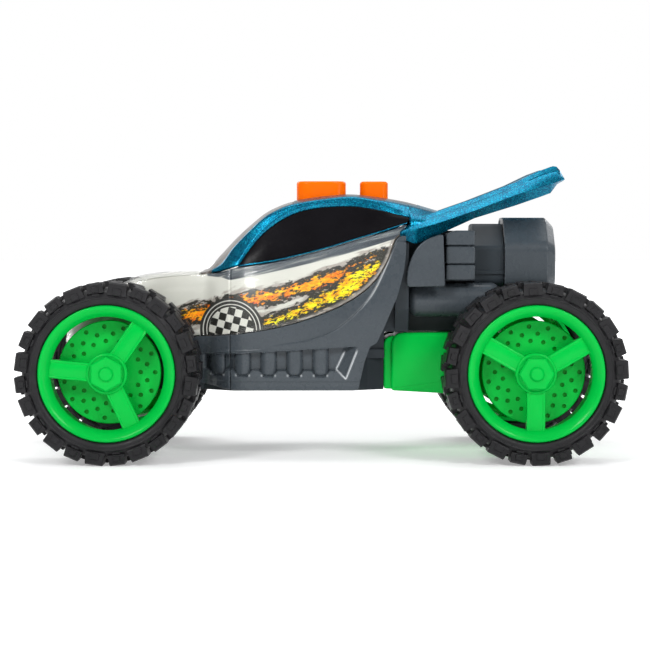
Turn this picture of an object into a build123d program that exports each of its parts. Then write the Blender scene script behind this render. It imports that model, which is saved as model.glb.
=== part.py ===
from build123d import *
from math import cos, hypot, radians, sin
import os

# A motor-driven toy stunt buggy, about 310 mm long, as an assembly of separate pieces.
# Frame: +X to the tail, +Y to the car's right-hand side, +Z up, origin on the ground under
# the middle of the wheelbase. Sizes are in millimetres.

# ---- driving dimensions ----------------------------------------------------------------
WHEELBASE = 217.0
TYRE_R = 46.5               # over the lugs
TYRE_W = 42.0
TRACK_HALF = 54.0           # centreline to a wheel's middle plane
LUGS = 24                   # shoulder lugs in one row
RIM_R = 34.0
RIM_OPENING_R = 28.7        # inner edge of the rim's outer ring
DISC_R = 26.5
SPOKE_W = 9.4
HUB_R = 10.5
HUB_CORE_R = 4.9
NUT_AF = 15.7               # across flats
AXLE_R = 1.5
BUSH_R = 3.5
RUNNING_GAP = 0.06          # radial, shaft in a bush

FRONT_X = -WHEELBASE / 2
REAR_X = WHEELBASE / 2
AXLE_Z = TYRE_R
FRONT_SPOKES = (55, 175, 295)
REAR_SPOKES = (30, 150, 270)

WALL = 2.4                  # opaque body mouldings
BULKHEAD_T = 1.8            # wall across the rear of the cabin moulding
BULKHEAD_REAR_X = 42.4
STEP_REAR_X = 32.8          # where that wall steps forward over the drive housings
STEP_HALF_W = 28.0
STEP_Z = 66.0
CLEAR_WALL = 1.2            # clear covers
INSERT_INSET = 1.5          # outer skin to the printed insert
INSERT_WALL = 1.2
SEAM_X = -47.5              # split between the nose and the cabin mouldings
PART_GAP = 0.15             # half the clearance between neighbouring panels

CHASSIS_Z = 35.5
FLOOR_T = 2.0
CHASSIS_TOP = 52.0
SILL_T = 6.0
SILL_TOP = 59.0
RIB_PITCH = 13.5
RIB_R = 3.6
RIB_FIRST_X = -54.5
RIB_COUNT = 5

MODULE = 0.5
AXLE_TEETH = 42
SMALL_TEETH = 12
LARGE_TEETH = 42
PINION_TEETH = 10
GEAR_X = REAR_X - MODULE * (AXLE_TEETH + SMALL_TEETH) / 2
MOTOR_X = GEAR_X - MODULE * (LARGE_TEETH + PINION_TEETH) / 2
PIN_R = 1.0
HOUSING_HALF_W = 31.0
HOUSING_WALL = 1.8

BUTTON_TRAVEL = 2.5
BUTTON_TOP = 145.4
BUTTON_FLANGE_Z = 131.5
BUTTON_GAP = 0.4
BOARD_TOP = 119.0
SWITCH_H = 4.2              # tact switches on the button board
LARGE_BUTTON = (-0.1, 26.4, 22.0)     # centre x, length, width
SMALL_BUTTON = (28.2, 15.0, 14.0)

CELL_R = 7.1
CELL_L = 50.5
CELL_X = -7.0
CELL_PITCH = 14.6
BAY_HALF_L = 27.0
BAY_HALF_W = 22.5
DOOR_SCREW_X = 25.0
SPEAKER_X = -78.0
SWITCH_X = -52.0

# Cross-sections of the body's outer skin. Each row holds x, then bottom z and half-width,
# then half-width and z of the widest line, the belt line and the roof edge, then the top z.
SECTIONS = (
    (-138, 50, 13, 17, 56, 17, 62, 14, 66, 67.5),
    (-130, 44, 20, 25, 54, 25, 67, 22, 73.5, 76),
    (-120, 41, 24, 29, 54, 29.5, 75, 26, 81.5, 84),
    (-108, 40, 26, 30.5, 55, 30.5, 81, 28, 88, 90.5),
    (-96, 40, 26, 30.5, 57, 30.5, 86.5, 29, 93.6, 95.6),
    (-80, 40, 26, 30.5, 60, 30.6, 90, 30, 97, 98.6),
    (-62, 38, 28, 31.5, 62, 32.5, 91, 31.5, 98, 99.6),
    (-54, 37, 36, 38.5, 64, 35.8, 93.5, 33, 99.8, 106.5),
    (-46, 36, 42, 43.5, 66, 38.2, 98, 32.6, 110, 115),
    (-38, 36, 44.5, 46, 68, 39.5, 102.3, 32.2, 118.4, 122.4),
    (-28, 36, 46, 47.4, 70, 40, 105, 31.8, 127, 130),
    (-16, 36, 46.5, 48, 71, 40, 108.2, 31.2, 133, 135.6),
    (0, 36, 46.5, 48, 72, 40, 112.3, 31, 136.3, 138.6),
    (15, 36, 46, 47.6, 73, 40, 116.2, 31, 137.9, 139.8),
    (30, 38, 44.5, 46.6, 76, 40.3, 120, 31, 135.9, 138.2),
    (44, 42, 41, 44.4, 80, 40.8, 123.4, 31, 133, 135.6),
    (62, 52, 36, 40, 88, 38, 122, 29, 128.4, 130.4),
)


# ---- helpers ---------------------------------------------------------------------------
def block(x0, x1, y0, y1, z0, z1):
    """Box between two corners, given in either order."""
    centre = Pos((x0 + x1) / 2, (y0 + y1) / 2, (z0 + z1) / 2)
    return centre * Box(abs(x1 - x0), abs(y1 - y0), abs(z1 - z0))


def rod_y(x, z, radius, y0, y1):
    """Round bar along Y."""
    return Pos(x, (y0 + y1) / 2, z) * Rot(90, 0, 0) * Cylinder(radius, y1 - y0)


def rod_z(x, y, radius, z0, z1):
    """Round bar along Z."""
    return Pos(x, y, (z0 + z1) / 2) * Cylinder(radius, z1 - z0)


def rod_x(x0, x1, radius):
    """Round bar along the X axis."""
    return Pos((x0 + x1) / 2, 0, 0) * Cylinder(radius, x1 - x0, rotation=(0, 90, 0))


def side_slab(points, y0, y1):
    """Prism along Y over a closed outline of (x, z) points."""
    wire = Polyline(*[(x, y0, z) for x, z in points], close=True)
    return extrude(make_face(wire), amount=y1 - y0, dir=(0, 1, 0))


def plan_slab(points, z0, z1, grow=0.0):
    """Prism along Z over half an outline of (x, y) points, mirrored about the centreline."""
    whole = list(points) + [(x, -y) for x, y in reversed(points)]
    face = make_face(Polyline(*[(x, y, z0) for x, y in whole], close=True))
    if grow:
        face = offset(face, amount=grow, kind=Kind.INTERSECTION)
    return extrude(face, amount=z1 - z0, dir=(0, 0, 1))


def mirrored(shape):
    """The same piece on the other side of the car."""
    return mirror(shape, about=Plane.XZ)


def write(name, shape):
    """Write one sub-part."""
    export_step(shape, f"parts/{name}.step")


# ---- body skin -------------------------------------------------------------------------
def section_points(row):
    """Half cross-section of the skin from the bottom centre to the top centre."""
    x, bottom, bottom_w, wide_w, wide_z, belt_w, belt_z, edge_w, edge_z, top = row
    crown = (edge_w * 0.62, edge_z + (top - edge_z) * 0.72)
    flank = [(bottom_w, bottom), (wide_w, wide_z), (belt_w, belt_z), (edge_w, edge_z)]
    return [(0, bottom)] + flank + [crown, (0, top)]


def inset_points(points, inset):
    """Move a half section's corners inward by the same distance square to both sides."""
    mirror_first = (-points[1][0], points[1][1])
    mirror_last = (-points[-2][0], points[-2][1])
    path = [mirror_first] + points + [mirror_last]
    moved = []
    for before, here, after in zip(path, path[1:], path[2:]):
        ins, outs = [], []
        for (y0, z0), (y1, z1) in ((before, here), (here, after)):
            length = hypot(y1 - y0, z1 - z0)
            ins.append((-(z1 - z0) / length, (y1 - y0) / length))
        bend = 1 + ins[0][0] * ins[1][0] + ins[0][1] * ins[1][1]
        shift = [(ins[0][i] + ins[1][i]) * inset / bend for i in range(2)]
        moved.append((here[0] + shift[0], here[1] + shift[1]))
    moved[0] = (0, moved[0][1])
    moved[-1] = (0, moved[-1][1])
    return moved


def envelope(inset=0.0):
    """Solid inside the body's outer skin, drawn in by a wall thickness."""
    faces = []
    for number, row in enumerate(SECTIONS):
        half = inset_points(section_points(row), inset) if inset else section_points(row)
        whole = half + [(-y, z) for y, z in reversed(half[1:-1])]
        x = row[0] + (inset if number == 0 else 0)
        faces.append(make_face(Polyline(*[(x, y, z) for y, z in whole], close=True)))
    return loft(faces, ruled=True)


BELT_FRONT = (-42.9, 101.2)
BELT_REAR = (44.7, 123.4)
WINDOW_ARCH = (
    BELT_FRONT, (-36.9, 110.1), (-29, 118.7), (-19.1, 125.6), (-8.9, 129.7), (4.4, 131.6), (14.7, 131.9),
    (29.5, 130.2), (46.1, 126.1), BELT_REAR,
)
# Lower and rear edge of the clear covers, from the nose to the belt.
PRINT_LINE = (
    (-138, 59), (-100, 61.5), (-63.7, 63.6), (-44.9, 65.1), (-31, 67.1), (-15.2, 70.6), (-0.3, 75.5),
    (14.5, 82.4), (27.4, 92.4), (34.3, 103.2), (39.1, 115),
)
SIDE_END_X = 38.9           # rear end of the clear side cover
# Outer bottom edge of the nose cover round the windscreen's foot.
SCREEN_FOOT = ((-64.2, 97.2), (-55.8, 97.2), (-40, 101.0))


def window_outline():
    """Side window: a straight belt under an arched top, as a face in the XZ plane."""
    return make_face(Polyline(*[(x, 0, z) for x, z in WINDOW_ARCH], close=True))


OUTER = envelope()
INNER = envelope(WALL)
HALF_SPAN = 60.0            # past either side of the body


def above(points):
    """Everything above a line of (x, z) points, between its ends."""
    top = 160.0
    return side_slab(list(points) + [(points[-1][0], top), (points[0][0], top)], -HALF_SPAN, HALF_SPAN)


def print_boundary(shift):
    """The clear cover's lower edge, moved up by a clearance."""
    return [(x, z + shift) for x, z in PRINT_LINE]


def window_prism(grow):
    """The side window's outline through the whole body, grown or shrunk."""
    face = offset(window_outline(), amount=grow, kind=Kind.INTERSECTION)
    return extrude(face, amount=HALF_SPAN, both=True)


def belt_z(x, shift=0.0):
    """Height of the straight line under the side windows."""
    (x0, z0), (x1, z1) = BELT_FRONT, BELT_REAR
    return z0 + (x - x0) * (z1 - z0) / (x1 - x0) + shift


def cabin_above():
    """Roof, pillars and windscreen: everything over the belt and the hood's rear edge."""
    belt = [(x, z - 0.6) for x, z in (BELT_FRONT, BELT_REAR)]
    return above([(-63.0, 97.6), (-55.5, 97.6)] + belt + [(46.1, 125.6), (62.5, 127.2)])


def screen_room(grow):
    """Plan outline of the windscreen and roof panel between the two roof rails."""
    rows = [(-64 - grow, 30.4), (-40, 30.4), (-28, 29.6), (-18, 27.4), (-10, 25.8), (60.2, 24.0)]
    return plan_slab([(x, w + grow) for x, w in rows], 90, 150)


CHASSIS_PLAN = (
    (-131, 15), (-122, 23), (-100, 26.5), (-62, 26.8), (-54, 33), (-46, 39), (16, 38.4), (24, 33),
    (32.6, 28.5),
)


# ---- chassis and electrics -------------------------------------------------------------
NOSE_SCREWS = ((-90, 20), (-90, -20))
SILL_SCREWS = ((-40, 33.5), (-40, -33.5), (9, 33.5), (9, -33.5))
SCREW_R = 1.3
SCREW_HEAD_R = 2.6
SCREW_SEAT_Z = CHASSIS_Z + 2.4


def chassis_tub():
    """Open-topped tray with the battery opening, screw posts, speaker grille and switch slot."""
    outside = plan_slab(CHASSIS_PLAN, CHASSIS_Z, CHASSIS_TOP)
    inside = plan_slab(CHASSIS_PLAN, CHASSIS_Z + FLOOR_T, CHASSIS_TOP + 1, grow=-FLOOR_T)
    tub = outside - inside
    for x, y in NOSE_SCREWS + SILL_SCREWS:
        top = 54.0 if (x, y) in NOSE_SCREWS else 50.0
        tub += rod_z(x, y, 3.4, CHASSIS_Z, top)
    tub += rod_z(DOOR_SCREW_X, 0, 3.4, CHASSIS_Z, 47)
    tub -= block(CELL_X - BAY_HALF_L, CELL_X + BAY_HALF_L, -BAY_HALF_W, BAY_HALF_W, 30, CHASSIS_Z + FLOOR_T)
    tub -= block(CELL_X + BAY_HALF_L - 1, DOOR_SCREW_X + 4, -6, 6, 30, CHASSIS_Z + 1.2)
    for x, y in NOSE_SCREWS + SILL_SCREWS + ((DOOR_SCREW_X, 0),):
        tub -= rod_z(x, y, SCREW_R, 30, 60)
    for x, y in NOSE_SCREWS + SILL_SCREWS:
        tub -= rod_z(x, y, SCREW_HEAD_R + 0.2, 30, SCREW_SEAT_Z)
    for angle in range(0, 360, 45):
        tub -= rod_z(SPEAKER_X + 8 * cos(radians(angle)), 8 * sin(radians(angle)), 1.2, 30, 40)
    tub -= rod_z(SPEAKER_X, 0, 1.2, 30, 40)
    tub -= block(SWITCH_X - 3.8, SWITCH_X + 4.0, -1.7, 1.7, 30, 40)
    tub -= rod_y(FRONT_X, AXLE_Z, BUSH_R, -40, 40)
    return tub


def axle_bushes():
    """Four flanged bushes: two in the chassis nose, two in the drive housing."""
    pieces = []
    for x, wall_outer in ((FRONT_X, 26.0), (REAR_X, HOUSING_HALF_W)):
        flange = rod_y(x, AXLE_Z, 4.8, wall_outer + 0.1, wall_outer + 1.3)
        bush = rod_y(x, AXLE_Z, BUSH_R, wall_outer - 4.5, wall_outer + 0.2) + flange
        bush -= rod_y(x, AXLE_Z, AXLE_R + RUNNING_GAP, 0, 60)
        pieces += [bush, mirrored(bush)]
    return Compound(children=pieces)


def body_screws():
    """Pan-head self-tapping screws under the chassis; all are the same."""
    pieces = []
    seats = [(x, y, SCREW_SEAT_Z) for x, y in NOSE_SCREWS + SILL_SCREWS] + [(DOOR_SCREW_X, 0, CHASSIS_Z)]
    for x, y, seat in seats:
        length = 16.5 if y else 11.0
        screw = rod_z(x, y, SCREW_R, seat, seat + length) + rod_z(x, y, SCREW_HEAD_R, seat - 1.8, seat)
        screw = chamfer(screw.faces().sort_by(Axis.Z)[0].edges(), 0.6)
        screw -= Pos(x, y, seat - 1.8) * Box(0.6, 3.2, 1.4)
        screw -= Pos(x, y, seat - 1.8) * Box(3.2, 0.6, 1.4)
        pieces.append(screw)
    return Compound(children=pieces)


def battery_door():
    """Flat door in the chassis floor with a screw tab and moulded ridges."""
    half_l, half_w = BAY_HALF_L - 0.3, BAY_HALF_W - 0.3
    door = block(CELL_X - half_l, CELL_X + half_l, -half_w, half_w, CHASSIS_Z, CHASSIS_Z + FLOOR_T - 0.2)
    door += block(CELL_X + half_l - 2, DOOR_SCREW_X + 3.6, -5.6, 5.6, CHASSIS_Z, CHASSIS_Z + 1.0)
    door -= rod_z(DOOR_SCREW_X, 0, SCREW_R + 0.2, 30, 40)
    for number in range(5):
        x = CELL_X - 16 + 8 * number
        door -= block(x, x + 3, -15, 15, CHASSIS_Z - 1, CHASSIS_Z + 0.6)
    return door


def battery_box():
    """Inverted box over the cells with two dividing ribs."""
    x0, x1 = CELL_X - BAY_HALF_L - 1.6, CELL_X + BAY_HALF_L + 1.6
    z0 = CHASSIS_Z + FLOOR_T
    box = block(x0, x1, -24.4, 24.4, z0, 55.0) - block(x0 + 1.6, x1 - 1.6, -22.8, 22.8, z0 - 1, 53.4)
    for y in (-CELL_PITCH / 2, CELL_PITCH / 2):
        box += block(x0 + 3.5, x1 - 3.5, y - 0.15, y + 0.15, 50, 54)
    return box


def battery_cells():
    """Three AA cells side by side, every other one turned round."""
    cells = []
    for number in (-1, 0, 1):
        nub_end = 1 if number else -1
        cell = Cylinder(CELL_R, CELL_L - 1.4, rotation=(0, 90, 0))
        cell = chamfer(cell.edges().filter_by(GeomType.CIRCLE), 0.4)
        cell += Pos(nub_end * CELL_L / 2, 0, 0) * Cylinder(2.6, 2.8, rotation=(0, 90, 0))
        cells.append(Pos(CELL_X, number * CELL_PITCH, 45.3) * cell)
    return Compound(children=cells)


def battery_contacts():
    """Flat sheet-metal contact plates at both ends of the cells, one long and one short at each."""
    plates = []
    for side in (-1, 1):
        x = CELL_X + side * (BAY_HALF_L - 0.15)
        for y0, y1 in ((-21.5, 6.5), (9.0, 21.5)):
            plates.append(block(x - 0.15, x + 0.15, side * y0, side * y1, 39.5, 51))
    return Compound(children=plates)


def power_switch_body():
    """Slide switch housing with a slot for its knob."""
    body = block(SWITCH_X - 7.5, SWITCH_X + 7.5, -3.6, 3.6, CHASSIS_Z + FLOOR_T + 0.1, 43.5)
    return body - block(SWITCH_X - 3.8, SWITCH_X + 4.0, -1.9, 1.9, 30, 41.5)


def power_switch_knob():
    """Knob through the chassis floor, with a flange held inside the switch."""
    knob = block(SWITCH_X - 3.5, SWITCH_X - 0.3, -1.4, 1.4, CHASSIS_Z - 1.3, 41.2)
    return fillet(knob.edges().group_by(Axis.Z)[0], 0.4)


def speaker():
    """Small speaker facing down: basket and magnet."""
    z0 = CHASSIS_Z + FLOOR_T + 0.1
    body = Cone(13.6, 8.5, 3.4, align=(Align.CENTER, Align.CENTER, Align.MIN))
    body = Pos(SPEAKER_X, 0, z0 + 1.2) * body + rod_z(SPEAKER_X, 0, 13.8, z0, z0 + 1.4)
    return body + rod_z(SPEAKER_X, 0, 7.5, z0 + 4, z0 + 8.0)


def control_board():
    """Circuit board over the battery box with its chip, capacitors and two lamps."""
    board = block(-34, 18, -21, 21, 55.3, 56.9)
    board += block(-12, -2, -5, 5, 56.8, 58.6)
    board += rod_z(8, 10, 3, 56.8, 64) + rod_z(8, -10, 2.5, 56.8, 62)
    for y in (-14, 14):
        board += rod_z(-30, y, 2.5, 56.8, 61) + Pos(-30, y, 61) * Sphere(2.5)
    return board


def button_board():
    """Upper circuit board with a tact switch under each roof button."""
    board = block(-22, 42, -17, 17, BOARD_TOP - 1.6, BOARD_TOP)
    for x in (LARGE_BUTTON[0], SMALL_BUTTON[0]):
        board += block(x - 2.5, x + 2.5, -2.5, 2.5, BOARD_TOP - 0.1, BOARD_TOP + 3)
        board += rod_z(x, 0, 1.4, BOARD_TOP, BOARD_TOP + SWITCH_H)
    return board


# ---- body mouldings --------------------------------------------------------------------
def below_print(shift):
    """Everything under the clear cover's lower edge."""
    line = print_boundary(shift)
    outline = [(-139, 30), (-139, line[0][1])] + line + [(42.4, 117.4), (60, 120), (60, 30)]
    return side_slab(outline, -HALF_SPAN, HALF_SPAN)


def chassis_room():
    """Space kept for the chassis tub inside the lower mouldings."""
    return plan_slab(CHASSIS_PLAN, 20, 54.3, grow=0.3)


def sill(x0, x1):
    """Thick lower part of the side with a shallow recess and half-round ribs."""
    region = block(x0, x1, -HALF_SPAN, HALF_SPAN, 30, SILL_TOP)
    body = (OUTER - envelope(SILL_T)) & region
    low, high = CHASSIS_Z + 7.5, SILL_TOP - 3.4
    outline = ((-60, high), (15, high), (9.5, low), (-60, low))
    body -= (OUTER - envelope(2.2)) & side_slab(outline, -HALF_SPAN, HALF_SPAN)
    for number in range(RIB_COUNT):
        x = RIB_FIRST_X + RIB_PITCH * number
        if x0 < x < x1:
            rib = rod_z(x, 0, RIB_R, low - 0.5, high + 0.5)
            for side in (-1, 1):
                lean = Pos(0, side * 43.9, 0) * rib
                body += lean & envelope(0.1)
    return body - chassis_room()


def main_body():
    """Grey cabin moulding: sills, the sides below the clear covers, and the rear pillars."""
    rear_edge = [
        (18.9, 30), (18.9, 36), (22.3, 51.1), (25.1, 58.8), (28.6, 60.9), (32.1, 68.1), (39.3, 84.9),
        (42.8, 98.3), (44.1, 110.4), (42.6, 116.8),
    ]
    line = print_boundary(-PART_GAP)
    front = [(SEAM_X + PART_GAP, 65.0 - PART_GAP), (SEAM_X + PART_GAP, 30)]
    inner_line = [point for point in reversed(line) if point[0] > SEAM_X]
    region = side_slab(front + rear_edge + inner_line, -HALF_SPAN, HALF_SPAN)
    over_sill = block(-140, 60, -HALF_SPAN, HALF_SPAN, SILL_TOP - 0.5, 160)
    body = ((OUTER - INNER) & region & over_sill) + (sill(SEAM_X + PART_GAP, 28.0) & region)
    for x, y in SILL_SCREWS:
        side = 1 if y > 0 else -1
        tab = block(x - 4, x + 4, side * 29, side * 43, 54.5, 57.5)
        body += tab - rod_z(x, y, SCREW_R, 50, 60)
    # The rear wall steps forward over the drive housings and down to the chassis.
    wall_x = BULKHEAD_REAR_X - BULKHEAD_T
    step_x = STEP_REAR_X - BULKHEAD_T
    step_top = STEP_Z + BULKHEAD_T
    bulkhead = INNER & block(wall_x, BULKHEAD_REAR_X, -HALF_SPAN, HALF_SPAN, STEP_Z, 113)
    bulkhead += block(step_x, BULKHEAD_REAR_X, -STEP_HALF_W, STEP_HALF_W, STEP_Z, step_top)
    bulkhead += block(step_x, STEP_REAR_X, -STEP_HALF_W, STEP_HALF_W, 54.5, step_top)
    edge = (OUTER - envelope(WALL + 0.1)) & block(wall_x, BULKHEAD_REAR_X, -HALF_SPAN, HALF_SPAN, 94, 112)
    return body + bulkhead + (edge & region) - chassis_room()


def nose_lower():
    """Grey lower nose moulding from the bumper to the seam, with the first rib on each side."""
    region = below_print(-PART_GAP) & block(-140, SEAM_X - PART_GAP, -HALF_SPAN, HALF_SPAN, 30, 90)
    under = block(-61.5, 0, -HALF_SPAN, HALF_SPAN, 20, SILL_TOP - 0.5)
    body = ((OUTER - INNER) & region) - under
    body += sill(-62.0, SEAM_X - PART_GAP) & region
    body -= chassis_room()
    for x, y in NOSE_SCREWS:
        side = 1 if y > 0 else -1
        tab = block(x - 4, x + 4, side * 15, side * 29, 54.5, 57.0)
        body += tab - rod_z(x, y, SCREW_R, 50, 60)
    return body - rod_y(FRONT_X, AXLE_Z, 5.4, -40, 40)


def print_height(x):
    """Height of the clear cover's lower edge at a station."""
    for (xa, za), (xb, zb) in zip(PRINT_LINE, PRINT_LINE[1:]):
        if xa <= x <= xb:
            return za + (zb - za) * (x - xa) / (xb - xa)


def cover_line(x0, x1, shift):
    """The clear cover's lower edge between two stations."""
    middle = [point for point in PRINT_LINE if x0 < point[0] < x1]
    points = [(x0, print_height(x0))] + middle + [(x1, print_height(x1))]
    return [(x, z + shift) for x, z in points]


def nose_layer(outer_inset, wall):
    """One layer of the nose above the lower moulding, up to the seam and the windscreen's foot."""
    skin = envelope(outer_inset) - envelope(outer_inset + wall)
    region = above(cover_line(-137.9, SEAM_X - PART_GAP, PART_GAP + outer_inset / 5))
    return (skin & region) - above(SCREEN_FOOT)


def side_layer(outer_inset, wall):
    """One layer of the left-hand cabin side between the belt and the lower edge."""
    skin = envelope(outer_inset) - envelope(outer_inset + wall)
    region = above(cover_line(SEAM_X + PART_GAP, SIDE_END_X, PART_GAP + outer_inset / 5))
    upper = above([(-60, 96.8), (-43, belt_z(-43, -0.9)), (44, belt_z(44, -0.9))])
    left = block(-60, 60, -HALF_SPAN, -20, 30, 160)
    return (skin & region & left) - upper


def side_window():
    """Left-hand black side window."""
    skin = envelope(0.4) - envelope(2.2)
    return skin & window_prism(-PART_GAP) & block(-60, 60, -HALF_SPAN, -20, 30, 160)


def roof_frame():
    """Metallic roof rails and pillars round the side windows, joined across the tail of the roof."""
    skin = (OUTER - INNER) & cabin_above()
    skin -= window_prism(PART_GAP)
    skin -= screen_room(PART_GAP)
    return skin + ((OUTER - INNER) & block(51, 62, -26, 26, 120, 140))


def windscreen_roof_panel():
    """Domed windscreen and roof panel in one moulding, with the button openings and board posts."""
    skin = (envelope(0.2) - envelope(WALL)) & cabin_above() & screen_room(-PART_GAP)
    panel = skin - block(50.7, 70, -40, 40, 100, 150)
    for x, y in ((-18, 13), (-18, -13), (40, 13), (40, -13)):
        post = rod_z(x, y, 2.0, BOARD_TOP + 0.1, 150) & envelope(1.0)
        panel += post
    for x, length, width in (LARGE_BUTTON, SMALL_BUTTON):
        panel -= button_prism(x, length + 2 * BUTTON_GAP, width + 2 * BUTTON_GAP, 130, 150)
    return panel


# ---- roof buttons ----------------------------------------------------------------------
def button_prism(x, length, width, z0, z1):
    """Rounded rectangle extruded up."""
    sketch = Pos(x, 0, z0) * RectangleRounded(length, width, min(length, width) * 0.3)
    return extrude(sketch, amount=z1 - z0, dir=(0, 0, 1))


def roof_button(x, length, width):
    """Hollow cap, retaining flange and stem of one button."""
    cap = button_prism(x, length, width, BUTTON_FLANGE_Z + 0.5, BUTTON_TOP)
    cap = fillet(cap.faces().sort_by(Axis.Z)[-1].edges(), 1.4)
    cap -= button_prism(x, length - 4, width - 4, BUTTON_FLANGE_Z + 2.2, BUTTON_TOP - 2.4)
    flange = button_prism(x, length + 3, width + 3, BUTTON_FLANGE_Z, BUTTON_FLANGE_Z + 1.6)
    stem_end = BOARD_TOP + SWITCH_H + BUTTON_TRAVEL + 0.5
    return cap + flange + rod_z(x, 0, 3.0, stem_end, BUTTON_FLANGE_Z + 1)


def button_spring(x):
    """Compression spring between a button's flange and the button board."""
    height = BUTTON_FLANGE_Z - BOARD_TOP - 1.2
    path = Helix(pitch=height / 4.5, height=height, radius=4.6)
    start = Plane(origin=path @ 0, z_dir=path % 0)
    coil = sweep(start * Circle(0.4), path=path, is_frenet=True)
    return Pos(x, 0, BOARD_TOP + 0.6) * coil


# ---- rear deck -------------------------------------------------------------------------
ENGINE_Z = 101.0
CORE_IN_R = 21.7
CAP_IN_R = 25.0
CAP_X0 = 95.6
CAP_X1 = 122.5
TANK_R = 7.9
TANK_Y = 24.4
TANK_Z = 81.6
SHIELD_Y = 41.0


def barrel(x0, x1, flat_r):
    """Eight-sided barrel along X."""
    sketch = Plane.YZ.offset(x0) * RegularPolygon(flat_r, 8, major_radius=False, rotation=22.5)
    return Pos(0, 0, ENGINE_Z) * extrude(sketch, amount=x1 - x0, dir=(1, 0, 0))


def engine_core():
    """Hollow engine block from the cabin's rear to the end cap, standing on the drive housing."""
    body = block(45.0, 84.0, -15.5, 15.5, 65.8, 119.0) + barrel(80.0, CAP_X0 - 0.2, CORE_IN_R)
    body -= block(47.0, 82.0, -13.5, 13.5, 60, 117.0)
    body -= barrel(82.0, 100, CORE_IN_R - 2)
    for y in (-1, 1):
        body += block(84, 92, y * 8, y * 15.5, 65.8, ENGINE_Z - CORE_IN_R + 1)
    return body


def engine_end_cap():
    """Larger barrel closing the tail of the engine, with a chamfered rim."""
    cap = barrel(CAP_X0, CAP_X1, CAP_IN_R)
    cap = chamfer(cap.faces().sort_by(Axis.X)[-1].edges(), 5.4)
    cap -= barrel(CAP_X0 - 1, CAP_X0 + 3, CORE_IN_R - 3)
    return cap - Pos(CAP_X1, 0, ENGINE_Z) * Cylinder(13, 5, rotation=(0, 90, 0))


def vent_stack():
    """Left-hand stack of three vent blocks on a backing web."""
    stack = block(66, 79, -20, -15.7, 93, 118.5)
    heights = ((92.9, 101.1), (101.5, 110.7), (111.3, 119.0))
    for z0, z1 in heights:
        slat = block(64.9, 79.6, -36, -19, z0, z1)
        stack += fillet(slat.edges().filter_by(Axis.Y).group_by(Axis.X)[-1], 1.6)
    stack -= side_slab(((64, 119.5), (64, 114.6), (71, 119.5)), -40, -10)
    return stack


def quarter_shield():
    """Left-hand flat shield behind the cabin with a curved front edge, on a short arm."""
    front = ((60.4, 116.6), (54, 113.9), (48.6, 108.6), (44.9, 99.4), (44.2, 93.6))
    curve = Spline(*[(x, -SHIELD_Y, z) for x, z in front])
    straight = ((44.2, 93.6), (45.4, 90.3), (47.6, 89.6), (64.3, 89.9), (63.3, 116.4), (60.4, 116.6))
    corner = Polyline(*[(x, -SHIELD_Y, z) for x, z in straight])
    plate = extrude(make_face([curve, corner]), amount=3.2, dir=(0, 1, 0))
    plate = fillet(plate.faces().sort_by(Axis.Y)[0].outer_wire().edges(), 0.8)
    return plate + block(52, 61, -38.2, -15.7, 99, 111)


def side_tank():
    """Left-hand tank: a round bar with domed ends on two saddles."""
    tank = rod_x(46.0, 93.0, TANK_R)
    tank = fillet(tank.edges().filter_by(GeomType.CIRCLE), 5.0)
    tank = Pos(0, -TANK_Y, TANK_Z) * tank
    for x in (54, 72):
        tank += block(x, x + 6, -TANK_Y, -15.7, TANK_Z - 3, TANK_Z + 3)
    return tank


# Spoiler arm: x, then (y, z) of the bottom edge, the outer crease and the top edge.
ARM_SECTIONS = (
    (40.6, (39.5, 115.4), (42.4, 117.2), (40.5, 118.4)),
    (49.0, (38.0, 111.9), (42.6, 119.6), (37.0, 124.6)),
    (60.0, (37.0, 116.4), (41.5, 122.6), (33.5, 128.8)),
    (80.0, (35.0, 125.4), (39.5, 129.4), (31.0, 135.8)),
    (101.0, (33.0, 131.9), (38.0, 137.4), (30.0, 144.0)),
    (113.5, (32.0, 136.2), (37.5, 141.4), (30.0, 150.0)),
    (120.5, (31.5, 138.8), (37.2, 143.6), (30.0, 152.9)),
    (125.8, (33.0, 144.4), (36.2, 146.0), (31.0, 150.2)),
)
ARM_WALL = 5.0


def spoiler():
    """Two swept faceted arms from the roof rails, joined by a raised cross wing."""
    faces = []
    for x, low, crease, top in ARM_SECTIONS:
        inner = [(low[0] - ARM_WALL, low[1] + 0.8), (top[0] - ARM_WALL, top[1] - 1.6)]
        outline = [low, crease, top, inner[1], inner[0]]
        faces.append(make_face(Polyline(*[(x, y, z) for y, z in outline], close=True)))
    arm = loft(faces, ruled=True)
    wing = side_slab(((97, 137.9), (120.8, 149.2), (122, 152.0), (119, 151.7), (96, 140.9)), -30, 30)
    root = side_slab(((50, 121.6), (61.5, 125.0), (61.5, 122), (51, 119.6)), 26, 36)
    pieces = arm + wing + mirrored(arm) + root + mirrored(root)
    return pieces - envelope(-0.1)


# ---- drive -----------------------------------------------------------------------------
HOUSING_SIDE = (
    (33.4, 36.4), (62, 34.3), (84, 33.2), (122, 33.2), (123, 46), (119, 58), (108, 65.3), (38.9, 65.3),
    (38.9, 63.5), (33.4, 63.5),
)
HOUSING_HOLLOW = (
    (40.8, 37.8), (62, 36.0), (84, 34.9), (120.2, 34.9), (121.0, 46), (117.4, 57), (107.3, 63.5),
    (40.8, 63.5),
)


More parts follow.
